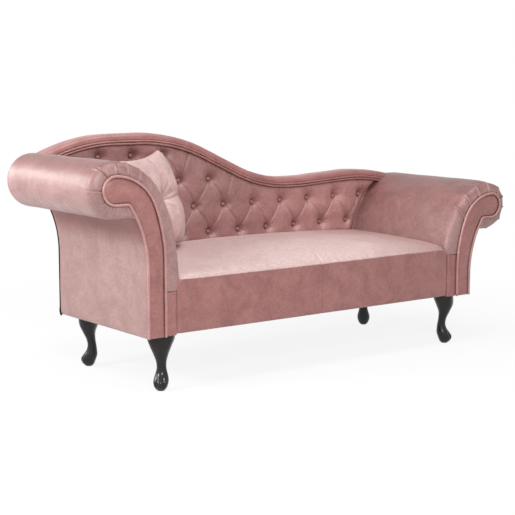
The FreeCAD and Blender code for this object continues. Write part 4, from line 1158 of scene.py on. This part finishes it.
def build_cushion():
    """Loose square cushion: four quarters sewn in a cross and drawn in by a button."""
    count = 97
    side = np.linspace(-1, 1, count)
    u, v = np.meshgrid(side, side, indexing="ij")
    waist = 0.1
    x = CUSHION_HALF * u * (1 - waist * (1 - v ** 2) * np.abs(u) ** 3)
    y = CUSHION_HALF * v * (1 - waist * (1 - u ** 2) * np.abs(v) ** 3)
    # It leans to the arm, one top corner sags and the lower one at the back is crushed
    to_right, to_top = (1 + u) / 2, (1 + v) / 2
    sagging, crushed = to_right * to_top, to_right * (1 - to_top)
    x += CUSHION_CROSSING[0] - 10.0 * sagging ** 4 - 20.0 * crushed ** 4
    y += CUSHION_CROSSING[1] - 12.0 * ((1 - to_right) * to_top) ** 2 + 9.0 * crushed ** 4
    bend = -9.0 * sagging ** 3 - 12.0 * crushed ** 3

    rise = ((1 - u ** 2) * (1 - v ** 2)) ** 0.38
    puff = CUSHION_DEPTH * rise
    for line in (CUSHION_HALF * u, CUSHION_HALF * v):
        puff -= (SEAM_GROOVE * hump(line, 3.0) + SEAM_VALLEY * hump(line, 30.0)) * rise
    across, up = x - CUSHION_CROSSING[0], y - CUSHION_CROSSING[1]
    away, turn = np.hypot(across, up), np.arctan2(up, across)
    dip = CUSHION_DIP * hump(away, 38.0, 1.2)
    folds = 2.2 * (np.sin(10 * turn + 0.6) + 0.6 * np.sin(17 * turn)) * hump(away - 42, 24.0)
    edge = np.maximum(np.abs(u), np.abs(v))
    pucker = np.sin(u * 31 + 2 * np.sin(v * 3)) * np.cos(v * 27)
    pucker *= 0.9 * np.clip((edge - 0.72) / 0.28, 0, 1)
    sheets = []
    for front in (1, -1):
        surface = puff * (FRONT_FULLNESS if front > 0 else 1.0) - dip
        surface += (folds + 1.3 * soft_noise(x.shape, (7, 7), 71 + front) + pucker) * rise
        height = front * np.maximum(surface, 0.4 * (edge < 1)) + bend
        sheets.append(point_grid(x, y, height).reshape(-1, 3))
    index = np.arange(count * count).reshape(count, count)
    quads = np.stack([index[:-1, :-1], index[1:, :-1], index[1:, 1:], index[:-1, 1:]], -1)
    quads = quads.reshape(-1, 4)
    faces = quads.tolist() + (quads[:, ::-1] + count * count).tolist()
    points = cushion_placed(np.vstack(sheets))
    cushion = plain_mesh("cushion_velvet", points, faces, CUSHION, "cushion")
    face_outward(cushion, merge=0.0002)
    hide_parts("cushion_cover", "cushion_filling")
    build_cushion_buttons()


def build_cushion_buttons():
    """A button at the crossing of the seams, in front and behind."""
    points, faces = button_shapes([(0, 0, 0)], CUSHION_BUTTON_RADIUS, CUSHION_BUTTON_RISE)
    middle = CUSHION_DEPTH - 2 * (SEAM_GROOVE + SEAM_VALLEY)
    lift = middle - CUSHION_DIP
    front = point_grid(points[:, 0] + CUSHION_CROSSING[0], points[:, 2] + CUSHION_CROSSING[1],
                       lift - points[:, 1])
    rear = front * np.array([1, 1, -1])
    front[:, 2] += (FRONT_FULLNESS - 1) * middle
    faces += [tuple(i + len(points) for i in face[::-1]) for face in faces]
    buttons = plain_mesh("cushion_buttons_velvet", cushion_placed(np.vstack([front, rear])),
                         faces, CUSHION, "cushion")
    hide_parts("cushion_buttons")


def dress_nodes():
    """Materials for all CAD nodes, by their slot in the record."""
    for entry in frame["record"]["subparts"]:
        node = frame["nodes"][entry["node"]]
        node.data.materials.clear()
        node.data.materials.append(NODE_MATERIALS[entry["material_slot"]])


def area_light(name, place, target, size, energy):
    """Rectangular lamp at a place in m, turned to a target, with its power in W."""
    data = bpy.data.lights.new(name, "AREA")
    data.shape = "RECTANGLE"
    data.size, data.size_y = size
    data.energy = energy
    lamp = bpy.data.objects.new(name, data)
    lamp.location = place
    lamp.rotation_euler = (Vector(target) - Vector(place)).to_track_quat("-Z", "Y").to_euler()
    bpy.context.scene.collection.objects.link(lamp)


def math_node(tree, operation, first, second):
    """Result of an operation on two values."""
    return add_node(tree, "Math", links={0: first, 1: second},
                    operation=operation).outputs["Value"]


def white_to_camera(tree, own_shader, white_shader, part=None):
    """The camera and mirror-like rays see a part of the white; the rest is own_shader."""
    path = add_node(tree, "LightPath")
    seen = path.outputs["Is Camera Ray"]
    for other in ("Is Glossy Ray", "Is Transmission Ray"):
        seen = math_node(tree, "MAXIMUM", seen, path.outputs[other])
    if part is not None:
        seen = math_node(tree, "MULTIPLY", seen, part)
    links = {"Fac": seen, 1: own_shader, 2: white_shader}
    return add_node(tree, "MixShader", links=links).outputs["Shader"]


def build_world():
    """Dim white surroundings, which the camera sees as plain white."""
    world = bpy.data.worlds.new("studio")
    bpy.context.scene.world = world
    world.use_nodes = True
    tree = world.node_tree
    tree.nodes.clear()
    ambient = add_node(tree, "Background", {"Color": (0.98, 0.98, 1.0, 1.0), "Strength": AMBIENT})
    white = add_node(tree, "Background", {"Color": (*WHITE, 1.0), "Strength": 1.0})
    seen = white_to_camera(tree, ambient.outputs["Background"], white.outputs["Background"])
    add_node(tree, "OutputWorld", links={"Surface": seen})


def build_floor():
    """White floor that keeps a faint shadow near the part and is plain white further out."""
    material = bpy.data.materials.new("studio_floor")
    material.use_nodes = True
    tree = material.node_tree
    tree.nodes.clear()
    paper = add_node(tree, "BsdfDiffuse", {"Color": (0.86, 0.86, 0.86, 1.0)})
    glow = add_node(tree, "Emission", {"Color": (*WHITE, 1.0)})
    place = add_node(tree, "TexCoord").outputs["Object"]
    away = add_node(tree, "VectorMath", links={0: place}, operation="LENGTH")
    fade = add_node(tree, "MapRange",
                    {"From Min": 0.9, "From Max": 2.2, "To Min": 0.88, "To Max": 1.0},
                    {"Value": away.outputs["Value"]})
    seen = white_to_camera(tree, paper.outputs["BSDF"], glow.outputs["Emission"],
                           fade.outputs["Result"])
    add_node(tree, "OutputMaterial", links={"Surface": seen})
    reach = 9000.0
    corners = [(-reach, -reach, 0), (reach, -reach, 0), (reach, reach, 0), (-reach, reach, 0)]
    plain_mesh("studio_floor", corners, [(0, 1, 2, 3)], material, None)


def build_studio():
    """Surroundings, floor, lamps, and the camera at the photo's angle."""
    build_world()
    build_floor()
    for name, values in LAMPS.items():
        area_light(name, *values)
    data = bpy.data.cameras.new("camera")
    data.lens = CAMERA_LENS
    data.sensor_width = CAMERA_SENSOR
    data.clip_end = 50.0
    camera = bpy.data.objects.new("camera", data)
    camera.location = CAMERA_PLACE
    camera.rotation_euler = (math.radians(CAMERA_TILT), 0.0, math.radians(CAMERA_TURN))
    scene = bpy.context.scene
    scene.collection.objects.link(camera)
    scene.camera = camera
    scene.view_settings.view_transform = "Standard"


dress_nodes()
build_seat()
build_apron()
build_tufting()
build_buttons()
build_border()
build_arm(True)
build_arm(False)
build_lining()
build_shadow_line_and_lining_corner(True)
build_shadow_line_and_lining_corner(False)
build_legs()
build_cushion()
build_studio()
